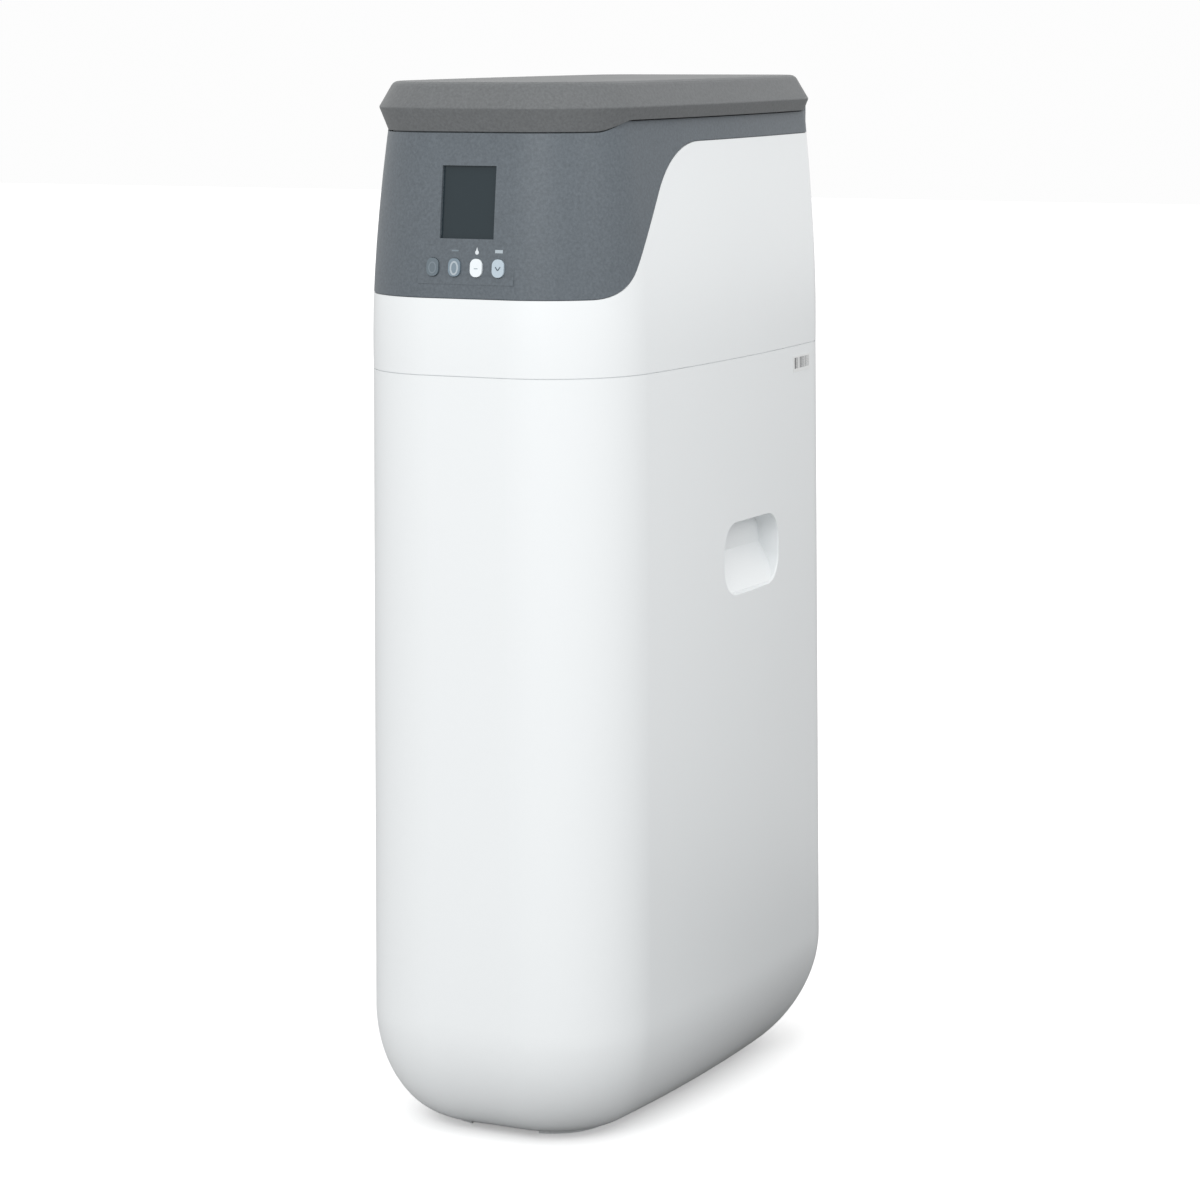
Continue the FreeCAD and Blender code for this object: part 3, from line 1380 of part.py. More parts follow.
def turbine():
    """A hub with six flat blades on an axle."""
    length = size("turbine_length")
    hub = rod("turbine_hub", METER_HUB, (meter_x, turbine_start, port_z), length, TO_BACK)
    axle = rod("turbine_axle", METER_AXLE, (meter_x, meter_y, port_z), turbine_end + 4 - meter_y, TO_BACK)
    blades = []
    for index in range(3):
        blade = box(f"turbine_blade_{index}", (-size("turbine_radius"), size("turbine_radius")), (0, length),
                    (-0.6, 0.6))
        blades.append(place(group(f"turbine_turn_{index}", blade), (meter_x, turbine_start, port_z),
                            Rotation(Vector(0, 1, 0), index * 60)))
    return fuse("turbine_wheel", hub, axle, *blades)


node("turbine_wheel", turbine())

# ---------------------------------------------------------------- brine line and drain

pipe_x = -size("well_offset")
fitting_end = size("side_port_reach")
branch_end = fitting_end - 12
nipple_z = size("well_height") - 22
nipple_end = well_y + size("well_radius") + 4
drop_y = nipple_end + size("tube_turn") + 6


def pipe(name, points, turn):
    """A bent pipe: straight runs joined by tangent arcs, with a bore."""
    spots = [Vector(*(Size.of(value).value for value in point)) for point in points]
    radius = Size.of(turn).value
    edges = []
    start = spots[0]
    for before, corner, after in zip(spots, spots[1:], spots[2:]):
        back = (before - corner).normalize()
        ahead = (after - corner).normalize()
        half_turn = math.acos(back.dot(ahead)) / 2
        setback = radius / math.tan(half_turn)
        into = corner + back * setback
        out = corner + ahead * setback
        crown = corner + (back + ahead).normalize() * (radius / math.sin(half_turn) - radius)
        edges.append(Part.LineSegment(start, into).toShape())
        edges.append(Part.Arc(into, crown, out).toShape())
        start = out
    edges.append(Part.LineSegment(start, spots[-1]).toShape())
    route = Part.Wire(edges)
    heading = (spots[1] - spots[0]).normalize()
    layers = []
    for round_size in (size("tube_radius").value, size("tube_bore").value):
        circle = Part.Wire([Part.Circle(spots[0], heading, round_size).toShape()])
        layers.append(route.makePipeShell([circle], True, False))
    obj = doc.addObject("Part::Feature", name)
    obj.Shape = layers[0].cut(layers[1])
    return obj


node("brine_fitting", tube("brine_fitting", size("side_port_radius"), size("tube_bore"),
                           (-branch_end, branch_y, port_z), fitting_end - branch_end, TO_LEFT))
node("brine_tube", pipe("brine_tube", [
    (-fitting_end, branch_y, port_z),
    (pipe_x, branch_y, port_z),
    (pipe_x, drop_y, port_z),
    (pipe_x, drop_y, nipple_z),
    (pipe_x, nipple_end, nipple_z),
], size("tube_turn")))


def drain_fitting():
    """An elbow on the right branch with its hose barb pointing back."""
    neck_part = rod("drain_neck", size("side_port_radius"), (branch_end, branch_y, port_z), 8, TO_RIGHT)
    middle = branch_end + 14
    knuckle = rod("drain_knuckle", size("barb_radius") + 1, (branch_end, branch_y, port_z), 15, TO_RIGHT)
    barb = rod("drain_barb", size("barb_radius") - 0.8, (middle, branch_y - 7, port_z), 62, TO_BACK)
    ridges = [cone(f"drain_ridge_{index}", size("barb_radius"), size("barb_radius") - 0.8,
                   (middle, branch_y + 34 + index * 7, port_z), 6, TO_BACK) for index in range(3)]
    bore = rod("drain_bore", size("tube_bore"), (middle, branch_y, port_z), 70, TO_BACK)
    inlet = rod("drain_inlet", size("tube_bore"), (branch_end - 1, branch_y, port_z), 15, TO_RIGHT)
    return cut("drain_fitting", fuse("drain_solid", neck_part, knuckle, barb, *ridges), bore, inlet)


node("drain_fitting", drain_fitting())

# ---------------------------------------------------------------- brine well

well_top = size("well_height")
WELL_SCRIBE = 200.0


def brine_well():
    """The upright well: its foot follows the bowl of the tank and has slots for brine."""
    low = floor + 1
    high_part = tube("well_high", size("well_radius"), size("well_radius") - size("well_wall"),
                     (well_x, well_y, WELL_SCRIBE), well_top - WELL_SCRIBE)
    low_part = tube("well_low", size("well_radius"), size("well_radius") - size("well_wall"),
                    (well_x, well_y, low), WELL_SCRIBE - low)
    scribed = common("well_scribed", low_part, clear_room)
    slots = []
    for turn in (0, 45, 90, 135):
        slot = box(f"well_slot_{turn}", (-OVER / 4, OVER / 4), (-2, 2), (60, 130))
        slots.append(place(group(f"well_slots_{turn}", slot), (well_x, well_y, 0),
                           Rotation(Vector(0, 0, 1), turn)))
    hole = rod("well_hole", NIPPLE_RADIUS, (well_x, well_y, nipple_z), size("well_radius") + 5, TO_BACK)
    return cut("brine_well", fuse("well_solid", high_part, scribed), *slots, hole)


NIPPLE_RADIUS = 6.0
GUIDE_OFFSET = 20.0
GUIDE_THICK = 6.0
valve_low = well_top - 45
node("brine_well", brine_well())
node("well_cap", fuse("well_cap", rod("cap_top", size("well_radius") + 3, (well_x, well_y, well_top), 3),
                      tube("cap_skirt", size("well_radius") - size("well_wall") - size("fit_gap"),
                           size("well_radius") - size("well_wall") - 3, (well_x, well_y, well_top - 8), 9),
                      rod("cap_knob", 9, (well_x, well_y, well_top + 2), 12)))


def brine_valve():
    """The float valve's body: upright barrel, nipple through the well and guide for the float rod."""
    barrel_part = rod("brine_barrel", 13, (well_x, well_y, valve_low), 34)
    nipple = rod("brine_nipple", NIPPLE_RADIUS, (well_x, well_y, nipple_z), nipple_end - well_y, TO_BACK)
    guide = box("brine_guide", (well_x, well_x + GUIDE_OFFSET + 6), (well_y - 5, well_y + 5),
                (valve_low, valve_low + GUIDE_THICK))
    guide_bore = rod("guide_bore", size("float_rod_radius") + size("fit_gap"),
                     (well_x + GUIDE_OFFSET, well_y, valve_low - 1), GUIDE_THICK + 2)
    bore = rod("nipple_bore", size("tube_bore"), (well_x, well_y, nipple_z), nipple_end - well_y, TO_BACK)
    down = rod("brine_down", size("tube_bore"), (well_x, well_y, valve_low - 1), nipple_z - valve_low + 1)
    return cut("brine_valve", fuse("brine_valve_solid", barrel_part, nipple, guide), guide_bore, bore, down)


node("brine_valve", brine_valve())
check_low = 50.0
check_high = 118.0
node("dip_tube", tube("dip_tube", size("tube_radius"), size("tube_bore"), (well_x, well_y, check_high),
                      valve_low - check_high))
node("air_check", turned("air_check", [
    (0, 0), (14, 0), (14, 54), (size("tube_radius"), 68), (0, 68),
], (well_x, well_y, check_low)))


def float_piece():
    """A ring float round the dip tube with its rod up to the valve."""
    top = size("float_rest") + size("float_height")
    ring_part = tube("float_ring", size("float_radius"), size("tube_radius") + 3, (well_x, well_y, size("float_rest")),
                     size("float_height"))
    stalk = rod("float_stalk", size("float_rod_radius"), (well_x + GUIDE_OFFSET, well_y, top - 5),
                valve_low + GUIDE_THICK + 14 - top + 5)
    return fuse("brine_float", ring_part, stalk)


node("brine_float", float_piece())

# ---------------------------------------------------------------- salt grid, overflow, socket, labels

grid_low = size("grid_height") - size("grid_thick")
GRID_GAP = 1.5


def salt_grid():
    """The perforated shelf that holds the salt above the water, shaped round the vessel and the well."""
    inset = size("tank_wall") - size("tank_belly") + GRID_GAP
    plate = slab("grid_plate", grid_low, size("grid_height"), inset, corner=0)
    vessel_hole = rod("grid_vessel_hole", size("vessel_radius") + GRID_GAP, (0, vessel_y, grid_low - 1),
                      size("grid_thick") + 2)
    well_hole = rod("grid_well_hole", size("well_radius") + GRID_GAP, (well_x, well_y, grid_low - 1),
                    size("grid_thick") + 2)
    pitch = size("grid_hole_pitch")
    holes = []
    for column in range(-4, 6):
        for row in range(0, 10):
            x = pitch * column
            y = front_y + 32 + pitch * row
            away_well = math.hypot((x - well_x).value, (y - well_y).value) - size("well_radius").value
            away_vessel = math.hypot(x.value, (y - vessel_y).value) - size("vessel_radius").value
            edge = half_width.value - abs(x.value)
            corner_x = half_width.value - size("front_corner_radius").value
            corner_y = front_y.value + size("front_corner_radius").value
            corner = math.hypot(max(0.0, abs(x.value) - corner_x), max(0.0, corner_y - y.value))
            if min(away_well, away_vessel) < 12 or edge < 24 or corner > 92:
                continue
            holes.append(rod(f"grid_hole_{column}_{row}", size("grid_hole_radius"), (x, y, grid_low - 1),
                             size("grid_thick") + 2))
    legs = [leg(f"grid_leg_{index}", *spot) for index, spot in enumerate(leg_spots)]
    return fuse("salt_grid", cut("grid_cut", plate, vessel_hole, well_hole, *holes), *legs)


leg_spots = [(68, front_y + 105), (68, front_y + 215), (-45, front_y + 205), (0, front_y + 95)]


def leg(name, x, y):
    """A hollow leg under the salt grid."""
    return tube(name, size("leg_radius"), size("leg_radius") - 2, (x, y, floor), grid_low - floor)


node("salt_grid", salt_grid())

overflow_x = size("overflow_offset")
overflow_z = size("overflow_height")
tank_node = NODES["cabinet_tank"]
spigot_radius = size("overflow_radius")
spout_y = back_y + 12.5
shoulder_radius = size("spout_shoulder")
shoulder_z = overflow_z - spigot_radius - 4
spout_low = shoulder_z - size("spout_length")


def overflow_elbow():
    """A flanged spigot through the back wall, turned down outside into a spout with a hose stop."""
    spigot = rod("overflow_spigot", spigot_radius, (overflow_x, back_y - 22, overflow_z), 34, TO_BACK)
    flange = rod("overflow_rim", size("overflow_flange"), (overflow_x, back_y - 2, overflow_z), 7, TO_BACK)
    shoulder = rod("overflow_shoulder", shoulder_radius, (overflow_x, spout_y, shoulder_z),
                   overflow_z + spigot_radius - shoulder_z)
    spout = rod("overflow_spout", spigot_radius, (overflow_x, spout_y, spout_low), size("spout_length") + PASS)
    solid = cut("overflow_solid", fuse("overflow_parts", spigot, flange, shoulder, spout), tank_node)
    bore = rod("overflow_way", spigot_radius - 2, (overflow_x, back_y - 23, overflow_z), 36, TO_BACK)
    drop = rod("overflow_drop", spigot_radius - 2, (overflow_x, spout_y, spout_low - 1), overflow_z - spout_low + 1)
    return cut("overflow_elbow", solid, bore, drop)


node("overflow_elbow", overflow_elbow())
nut_ring = tube("overflow_ring", size("overflow_flange") - 2, spigot_radius, (overflow_x, back_y - 14, overflow_z),
                12, TO_BACK)
node("overflow_nut", cut("overflow_nut", nut_ring, tank_node))


def power_socket():
    """A square panel socket for a round low-voltage plug."""
    body = box("socket_body", (SOCKET_X - SOCKET_HALF, SOCKET_X + SOCKET_HALF), (back_y - 13, back_y + 0.5),
               (port_z - SOCKET_HALF, port_z + SOCKET_HALF))
    flange = box("socket_flange", (SOCKET_X - 10, SOCKET_X + 10), (back_y, back_y + 1.5), (port_z - 10, port_z + 10))
    hole = rod("socket_bore", SOCKET_BORE, (SOCKET_X, back_y - 9, port_z), 12, TO_BACK)
    pin_part = rod("socket_pin", 1.0, (SOCKET_X, back_y - 10, port_z), 8, TO_BACK)
    return fuse("power_socket", cut("socket_cut", fuse("socket_solid", body, flange), hole), pin_part)


SOCKET_BORE = 2.75
node("power_socket", power_socket())


def shroud_screw(name, x):
    """A pan-head screw through the back of the shroud into the tongue."""
    shank = rod(f"{name}_shank", SCREW_RADIUS, (x, back_y - 9, seam + SCREW_RISE), 10, TO_BACK)
    head = cone(f"{name}_head", SCREW_HEAD, SCREW_HEAD - 1, (x, back_y, seam + SCREW_RISE), 2, TO_BACK)
    return fuse(name, shank, head)


node("shroud_screws", copies("shroud_screws", shroud_screw, screw_spots))

LABEL_THICK = 0.3
LABEL_LOW = 30.0
LABEL_TALL = 18.5
LABEL_TO_BACK = 71.0
LABEL_LONG = 57.0


def stock_label():
    """A small printed label on the right side, just under the seam."""
    film = cut("label_film", tank_form("label_skin", -LABEL_THICK), tank_skin)
    window = box("label_window", (0, OVER), (back_y - LABEL_TO_BACK - LABEL_LONG, back_y - LABEL_TO_BACK),
                 (seam - LABEL_LOW, seam - LABEL_LOW + LABEL_TALL))
    return common("stock_label", film, window)


node("stock_label", stock_label())


# ---------------------------------------------------------------- checks and export

doc.recompute()
for obj in doc.Objects:
    if "Invalid" in obj.State or "Error" in obj.State:
        raise RuntimeError(f"{obj.Name} did not build: {obj.State}")
for name, obj in NODES.items():
    if obj.Shape.isNull() or not obj.Shape.isValid():
        raise RuntimeError(f"{name} has no valid shape")
os.makedirs("parts", exist_ok=True)
for name, obj in NODES.items():
    obj.Shape.exportStep(f"parts/{name}.step")
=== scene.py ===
"""Looks of the cabinet water softener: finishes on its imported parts, small fittings, a pale studio."""
import json
import math

import bmesh
import bpy
from mathutils import Euler, Matrix, Vector
from mathutils.bvhtree import BVHTree


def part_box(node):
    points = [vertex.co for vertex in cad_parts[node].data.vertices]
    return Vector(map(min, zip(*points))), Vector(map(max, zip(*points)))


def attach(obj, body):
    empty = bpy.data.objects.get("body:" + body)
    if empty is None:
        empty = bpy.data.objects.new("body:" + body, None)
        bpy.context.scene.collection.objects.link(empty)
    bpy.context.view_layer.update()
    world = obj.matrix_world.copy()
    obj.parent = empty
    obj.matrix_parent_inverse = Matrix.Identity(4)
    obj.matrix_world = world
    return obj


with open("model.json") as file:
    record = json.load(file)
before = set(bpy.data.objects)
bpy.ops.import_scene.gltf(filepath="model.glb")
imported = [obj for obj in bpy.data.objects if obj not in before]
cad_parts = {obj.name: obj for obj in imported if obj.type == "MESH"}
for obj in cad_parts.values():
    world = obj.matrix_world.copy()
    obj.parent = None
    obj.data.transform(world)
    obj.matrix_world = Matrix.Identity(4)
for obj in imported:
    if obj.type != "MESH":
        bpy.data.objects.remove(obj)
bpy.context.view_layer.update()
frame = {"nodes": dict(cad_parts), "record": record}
PARTS = frame["nodes"]
MM = 0.001
SURROUND = 0.98
FLOOR_GLOW = 0.3
CAMERA_DISTANCE = 4.1132
CAMERA_HEIGHT = 1.1972
CABINET_MIDDLE_Y = -0.00925
LABEL_BARS = 78.0
LABEL_MARGIN = 0.08
INK_COLOUR = (0.03, 0.03, 0.035, 1.0)
GLASS_BAND_PITCH = 0.0126
VESSEL_RADIUS = 0.128
DUST_COLOUR = (0.62, 0.61, 0.58, 1.0)


# ---------------------------------------------------------------- studio

def studio_camera():
    """Stand a long lens off the cabinet's front corner, a little above its lid."""
    turn, down, roll = math.radians(27.1), math.radians(8.9), math.radians(-0.28)
    lens = bpy.data.cameras.new("studio_lens")
    lens.sensor_width = 36.0
    lens.lens = 110.4
    lens.shift_x = 0.0012
    lens.shift_y = 0.0015
    lens.clip_end = 60.0
    camera = bpy.data.objects.new("studio_camera", lens)
    bpy.context.scene.collection.objects.link(camera)
    across = math.sin(turn) * CAMERA_DISTANCE
    back = math.cos(turn) * CAMERA_DISTANCE
    camera.location = (across, CABINET_MIDDLE_Y - back, CAMERA_HEIGHT)
    aim = Vector((-math.sin(turn) * math.cos(down), math.cos(turn) * math.cos(down), -math.sin(down)))
    camera.rotation_mode = "QUATERNION"
    camera.rotation_quaternion = aim.to_track_quat("-Z", "Y") @ Euler((0, 0, roll)).to_quaternion()
    bpy.context.scene.camera = camera


def soft_panel(name, spot, target, width, height, power):
    """One softbox, facing a point."""
    lamp = bpy.data.lights.new(name, "AREA")
    lamp.shape = "RECTANGLE"
    lamp.size, lamp.size_y = width, height
    lamp.energy = power
    panel = bpy.data.objects.new(name, lamp)
    bpy.context.scene.collection.objects.link(panel)
    panel.location = spot
    panel.rotation_mode = "QUATERNION"
    panel.rotation_quaternion = (Vector(target) - Vector(spot)).to_track_quat("-Z", "Y")


def studio():
    """White surround, pale floor, and softboxes in front and to the right."""
    scene = bpy.context.scene
    scene.view_settings.view_transform = "Standard"
    world = bpy.data.worlds.new("surround")
    scene.world = world
    world.use_nodes = True
    sky = world.node_tree.nodes["Background"]
    sky.inputs["Color"].default_value = (1.0, 1.0, 1.0, 1.0)
    sky.inputs["Strength"].default_value = SURROUND
    soft_panel("key_panel", (0.5, -3.3, 2.3), (0, 0, 0.85), 1.5, 2.0, 34.0)
    soft_panel("side_panel", (2.9, -1.0, 2.2), (0, 0, 0.9), 1.2, 1.6, 13.0)
    mesh = bpy.data.meshes.new("floor")
    shape = bmesh.new()
    bmesh.ops.create_grid(shape, x_segments=8, y_segments=8, size=20.0)
    shape.to_mesh(mesh)
    shape.free()
    floor = bpy.data.objects.new("floor", mesh)
    scene.collection.objects.link(floor)
    mesh.materials.append(floor_finish())


# ---------------------------------------------------------------- shared effects

def effect(name, inputs, outputs):
    """A new effect that several finishes share, with named inputs and outputs."""
    group = bpy.data.node_groups.new(name, "ShaderNodeTree")
    for label, kind, start in inputs:
        socket = group.interface.new_socket(name=label, in_out="INPUT", socket_type=f"NodeSocket{kind}")
        socket.default_value = start
    for label, kind in outputs:
        group.interface.new_socket(name=label, in_out="OUTPUT", socket_type=f"NodeSocket{kind}")
    return group, group.nodes.new("NodeGroupInput"), group.nodes.new("NodeGroupOutput")


def step(tree, kind, settings=(), **links):
    """Add a node, set its choices, and fill its inputs with values or with other nodes' outputs."""
    made = tree.nodes.new(kind)
    for label, value in dict(settings).items():
        setattr(made, label, value)
    for label, value in links.items():
        numbered = label[0] == "i" and label[1:].isdigit()
        socket = made.inputs[int(label[1:]) if numbered else label]
        if isinstance(value, bpy.types.NodeSocket):
            tree.links.new(value, socket)
        else:
            socket.default_value = value
    return made


def sums(tree, operation, first, second=0.0, third=0.0, clamp=False):
    """One arithmetic step, giving its result socket."""
    made = step(tree, "ShaderNodeMath", {"operation": operation, "use_clamp": clamp},
                i0=first, i1=second, i2=third)
    return made.outputs[0]


def blended(tree, share, first, second):
    """A colour between two others."""
    made = step(tree, "ShaderNodeMix", {"data_type": "RGBA"}, i0=share, i6=first, i7=second)
    return made.outputs[2]


def own_place(tree):
    """Where a point is on the object itself, in metres."""
    return step(tree, "ShaderNodeTexCoord").outputs["Object"]


def moulded_grain():
    """The fine texture of a moulded face: its height and its flecks."""
    tree, given, result = effect("moulded_grain", [("Scale", "Float", 900.0), ("Fleck", "Float", 0.5)],
                                 [("Height", "Float"), ("Shade", "Float")])
    place = own_place(tree)
    fine = step(tree, "ShaderNodeTexNoise", Vector=place, Scale=given.outputs["Scale"], Detail=3.0,
                Roughness=0.65)
    coarse = step(tree, "ShaderNodeTexNoise", Vector=place, Detail=2.0, Roughness=0.5,
                  Scale=sums(tree, "MULTIPLY", given.outputs["Scale"], 0.37))
    height = sums(tree, "MULTIPLY_ADD", coarse.outputs["Fac"], 0.5, fine.outputs["Fac"])
    centred = sums(tree, "SUBTRACT", fine.outputs["Fac"], 0.5)
    tree.links.new(height, result.inputs["Height"])
    tree.links.new(sums(tree, "MULTIPLY", centred, given.outputs["Fleck"]), result.inputs["Shade"])
    return tree


def colour_drift():
    """A base colour that wanders slightly over a large moulding, with flecks added."""
    inputs = [("Colour", "Color", (1, 1, 1, 1)), ("Spread", "Float", 0.04), ("Shade", "Float", 0.0)]
    tree, given, result = effect("colour_drift", inputs, [("Colour", "Color")])
    cloud = step(tree, "ShaderNodeTexNoise", Vector=own_place(tree), Scale=5.0, Detail=3.0, Roughness=0.55)
    centred = sums(tree, "SUBTRACT", cloud.outputs["Fac"], 0.5)
    wander = sums(tree, "MULTIPLY_ADD", centred, given.outputs["Spread"], 1.0)
    level = sums(tree, "ADD", wander, given.outputs["Shade"])
    mixed = step(tree, "ShaderNodeVectorMath", {"operation": "SCALE"}, i0=given.outputs["Colour"],
                 Scale=level)
    tree.links.new(mixed.outputs[0], result.inputs["Colour"])
    return tree


def settled_dust():
    """A thin film that gathers on upward faces and near the floor."""
    tree, given, result = effect("settled_dust", [("Amount", "Float", 0.2)], [("Mask", "Float")])
    normal = step(tree, "ShaderNodeNewGeometry").outputs["Normal"]
    up = step(tree, "ShaderNodeSeparateXYZ", Vector=normal).outputs["Z"]
    facing = sums(tree, "POWER", sums(tree, "MAXIMUM", up, 0.0), 3.0)
    place = own_place(tree)
    height = step(tree, "ShaderNodeSeparateXYZ", Vector=place).outputs["Z"]
    low = step(tree, "ShaderNodeMapRange", Value=height, i1=0.0, i2=0.16, i3=0.45, i4=0.0).outputs[0]
    patch = step(tree, "ShaderNodeTexNoise", Vector=place, Scale=38.0, Detail=5.0, Roughness=0.7)
    cover = sums(tree, "MULTIPLY", sums(tree, "ADD", facing, low), patch.outputs["Fac"])
    tree.links.new(sums(tree, "MULTIPLY", cover, given.outputs["Amount"], clamp=True), result.inputs["Mask"])
    return tree


def handling_marks():
    """Hairline scuffs that change the gloss where a case is wiped and carried."""
    tree, given, result = effect("handling_marks", [("Amount", "Float", 0.1)], [("Gloss", "Float")])
    stretched = step(tree, "ShaderNodeVectorMath", {"operation": "MULTIPLY"}, i0=own_place(tree),
                     i1=(40.0, 40.0, 260.0))
    lines = step(tree, "ShaderNodeTexNoise", Vector=stretched.outputs[0], Scale=1.0, Detail=4.0,
                 Roughness=0.7)
    broad = step(tree, "ShaderNodeTexNoise", Vector=own_place(tree), Scale=9.0, Detail=2.0)
    both = sums(tree, "MULTIPLY", lines.outputs["Fac"], broad.outputs["Fac"])
    tree.links.new(sums(tree, "MULTIPLY", both, given.outputs["Amount"]), result.inputs["Gloss"])
    return tree


def wound_bands():
    """Crossing helical bands of glass fibre about an upright axis."""
    inputs = [("Axis Y", "Float", 0.0), ("Radius", "Float", VESSEL_RADIUS)]
    tree, given, result = effect("wound_bands", inputs, [("Height", "Float"), ("Shade", "Float")])
    split = step(tree, "ShaderNodeSeparateXYZ", Vector=own_place(tree))
    across = sums(tree, "SUBTRACT", split.outputs["Y"], given.outputs["Axis Y"])
    angle = sums(tree, "ARCTAN2", across, split.outputs["X"])
    round_it = sums(tree, "MULTIPLY", angle, given.outputs["Radius"])
    waves = []
    for lean in (0.5, -0.5):
        along = sums(tree, "MULTIPLY_ADD", round_it, lean, split.outputs["Z"])
        waves.append(sums(tree, "SINE", sums(tree, "MULTIPLY", along, 2 * math.pi / GLASS_BAND_PITCH)))
    height = sums(tree, "MAXIMUM", waves[0], waves[1])
    tree.links.new(height, result.inputs["Height"])
    tree.links.new(sums(tree, "MULTIPLY", height, 0.12), result.inputs["Shade"])
    return tree


def packed_grains():
    """Loose grains pressed together."""
    tree, given, result = effect("packed_grains", [("Scale", "Float", 900.0)],
                                 [("Height", "Float"), ("Shade", "Float")])
    cells = step(tree, "ShaderNodeTexVoronoi", Vector=own_place(tree), Scale=given.outputs["Scale"])
    tint = step(tree, "ShaderNodeSeparateColor", Color=cells.outputs["Color"]).outputs[0]
    tree.links.new(sums(tree, "SUBTRACT", 1.0, cells.outputs["Distance"]), result.inputs["Height"])
    centred = sums(tree, "SUBTRACT", tint, 0.5)
    tree.links.new(sums(tree, "MULTIPLY", centred, 0.5), result.inputs["Shade"])
    return tree


def brush_lines():
    """Straight lines left by brushing or rolling metal."""
    tree, given, result = effect("brush_lines", [("Scale", "Float", 1.0)],
                                 [("Height", "Float"), ("Shade", "Float")])
    stretched = step(tree, "ShaderNodeVectorMath", {"operation": "MULTIPLY"}, i0=own_place(tree),
                     i1=(3000.0, 90.0, 3000.0))
    lines = step(tree, "ShaderNodeTexNoise", Vector=stretched.outputs[0], Scale=given.outputs["Scale"],
                 Detail=3.0)
    tree.links.new(lines.outputs["Fac"], result.inputs["Height"])
    centred = sums(tree, "SUBTRACT", lines.outputs["Fac"], 0.5)
    tree.links.new(sums(tree, "MULTIPLY", centred, 0.3), result.inputs["Shade"])
    return tree


def label_bars():
    """Plain upright bars on a stock label, inside a margin."""
    inputs = [("Start", "Float", 0.0), ("Length", "Float", 0.06),
              ("Low", "Float", 0.0), ("High", "Float", 1.0)]
    tree, given, result = effect("label_bars", inputs, [("Ink", "Float")])
    split = step(tree, "ShaderNodeSeparateXYZ", Vector=own_place(tree))
    from_start = sums(tree, "SUBTRACT", split.outputs["Y"], given.outputs["Start"])
    along = sums(tree, "DIVIDE", from_start, given.outputs["Length"])
    bar = sums(tree, "FLOOR", sums(tree, "MULTIPLY", along, LABEL_BARS))
    chance = step(tree, "ShaderNodeTexWhiteNoise", {"noise_dimensions": "1D"}, W=bar).outputs["Value"]
    inked = sums(tree, "GREATER_THAN", chance, 0.5)
    height = split.outputs["Z"]
    for value, way, limit in ((along, "GREATER_THAN", LABEL_MARGIN), (along, "LESS_THAN", 1 - LABEL_MARGIN),
                              (height, "GREATER_THAN", given.outputs["Low"]),
                              (height, "LESS_THAN", given.outputs["High"])):
        inked = sums(tree, "MULTIPLY", inked, sums(tree, way, value, limit))
    tree.links.new(inked, result.inputs["Ink"])
    return tree


GRAIN = moulded_grain()
DRIFT = colour_drift()
DUST = settled_dust()
MARKS = handling_marks()
WOUND = wound_bands()
GRAINS = packed_grains()
BRUSHED = brush_lines()
BARS = label_bars()


# ---------------------------------------------------------------- finishes

def use(tree, group, **values):
    """Place a shared effect with its own values."""
    made = tree.nodes.new("ShaderNodeGroup")
    made.node_tree = group
    for label, value in values.items():
        socket = made.inputs[label.replace("_", " ")]
        if isinstance(value, bpy.types.NodeSocket):
            tree.links.new(value, socket)
        else:
            socket.default_value = value
    return made


def finish(name, colour, rough, relief=None, depth=0.02, spread=0.05, dust=0.1, marks=0.1, **fixed):
    """A finish from a colour, a roughness and a surface texture, with dust and handling marks over it."""
    made = bpy.data.materials.new(name)
    made.use_nodes = True
    tree = made.node_tree
    surface = tree.nodes["Principled BSDF"]
    group, values = relief or (GRAIN, {"Scale": 900.0, "Fleck": 0.2})
    texture = use(tree, group, **values)
    base = use(tree, DRIFT, Colour=(*colour, 1.0), Spread=spread, Shade=texture.outputs["Shade"]).outputs[0]
    film = use(tree, DUST, Amount=dust).outputs[0]
    tree.links.new(blended(tree, film, base, DUST_COLOUR), surface.inputs["Base Color"])
    gloss = use(tree, MARKS, Amount=marks).outputs[0]
    dulled = sums(tree, "MULTIPLY_ADD", film, 0.35, sums(tree, "ADD", gloss, rough - marks * 0.25))
    tree.links.new(dulled, surface.inputs["Roughness"])
    bump = step(tree, "ShaderNodeBump", Strength=1.0, Distance=depth * MM, Height=texture.outputs["Height"])
    tree.links.new(bump.outputs["Normal"], surface.inputs["Normal"])
    for label, value in fixed.items():
        surface.inputs[label.replace("_", " ")].default_value = value
    return made


def grey(tree, level):
    """A neutral colour of one brightness."""
    return step(tree, "ShaderNodeCombineColor", i0=level, i1=level, i2=level).outputs[0]


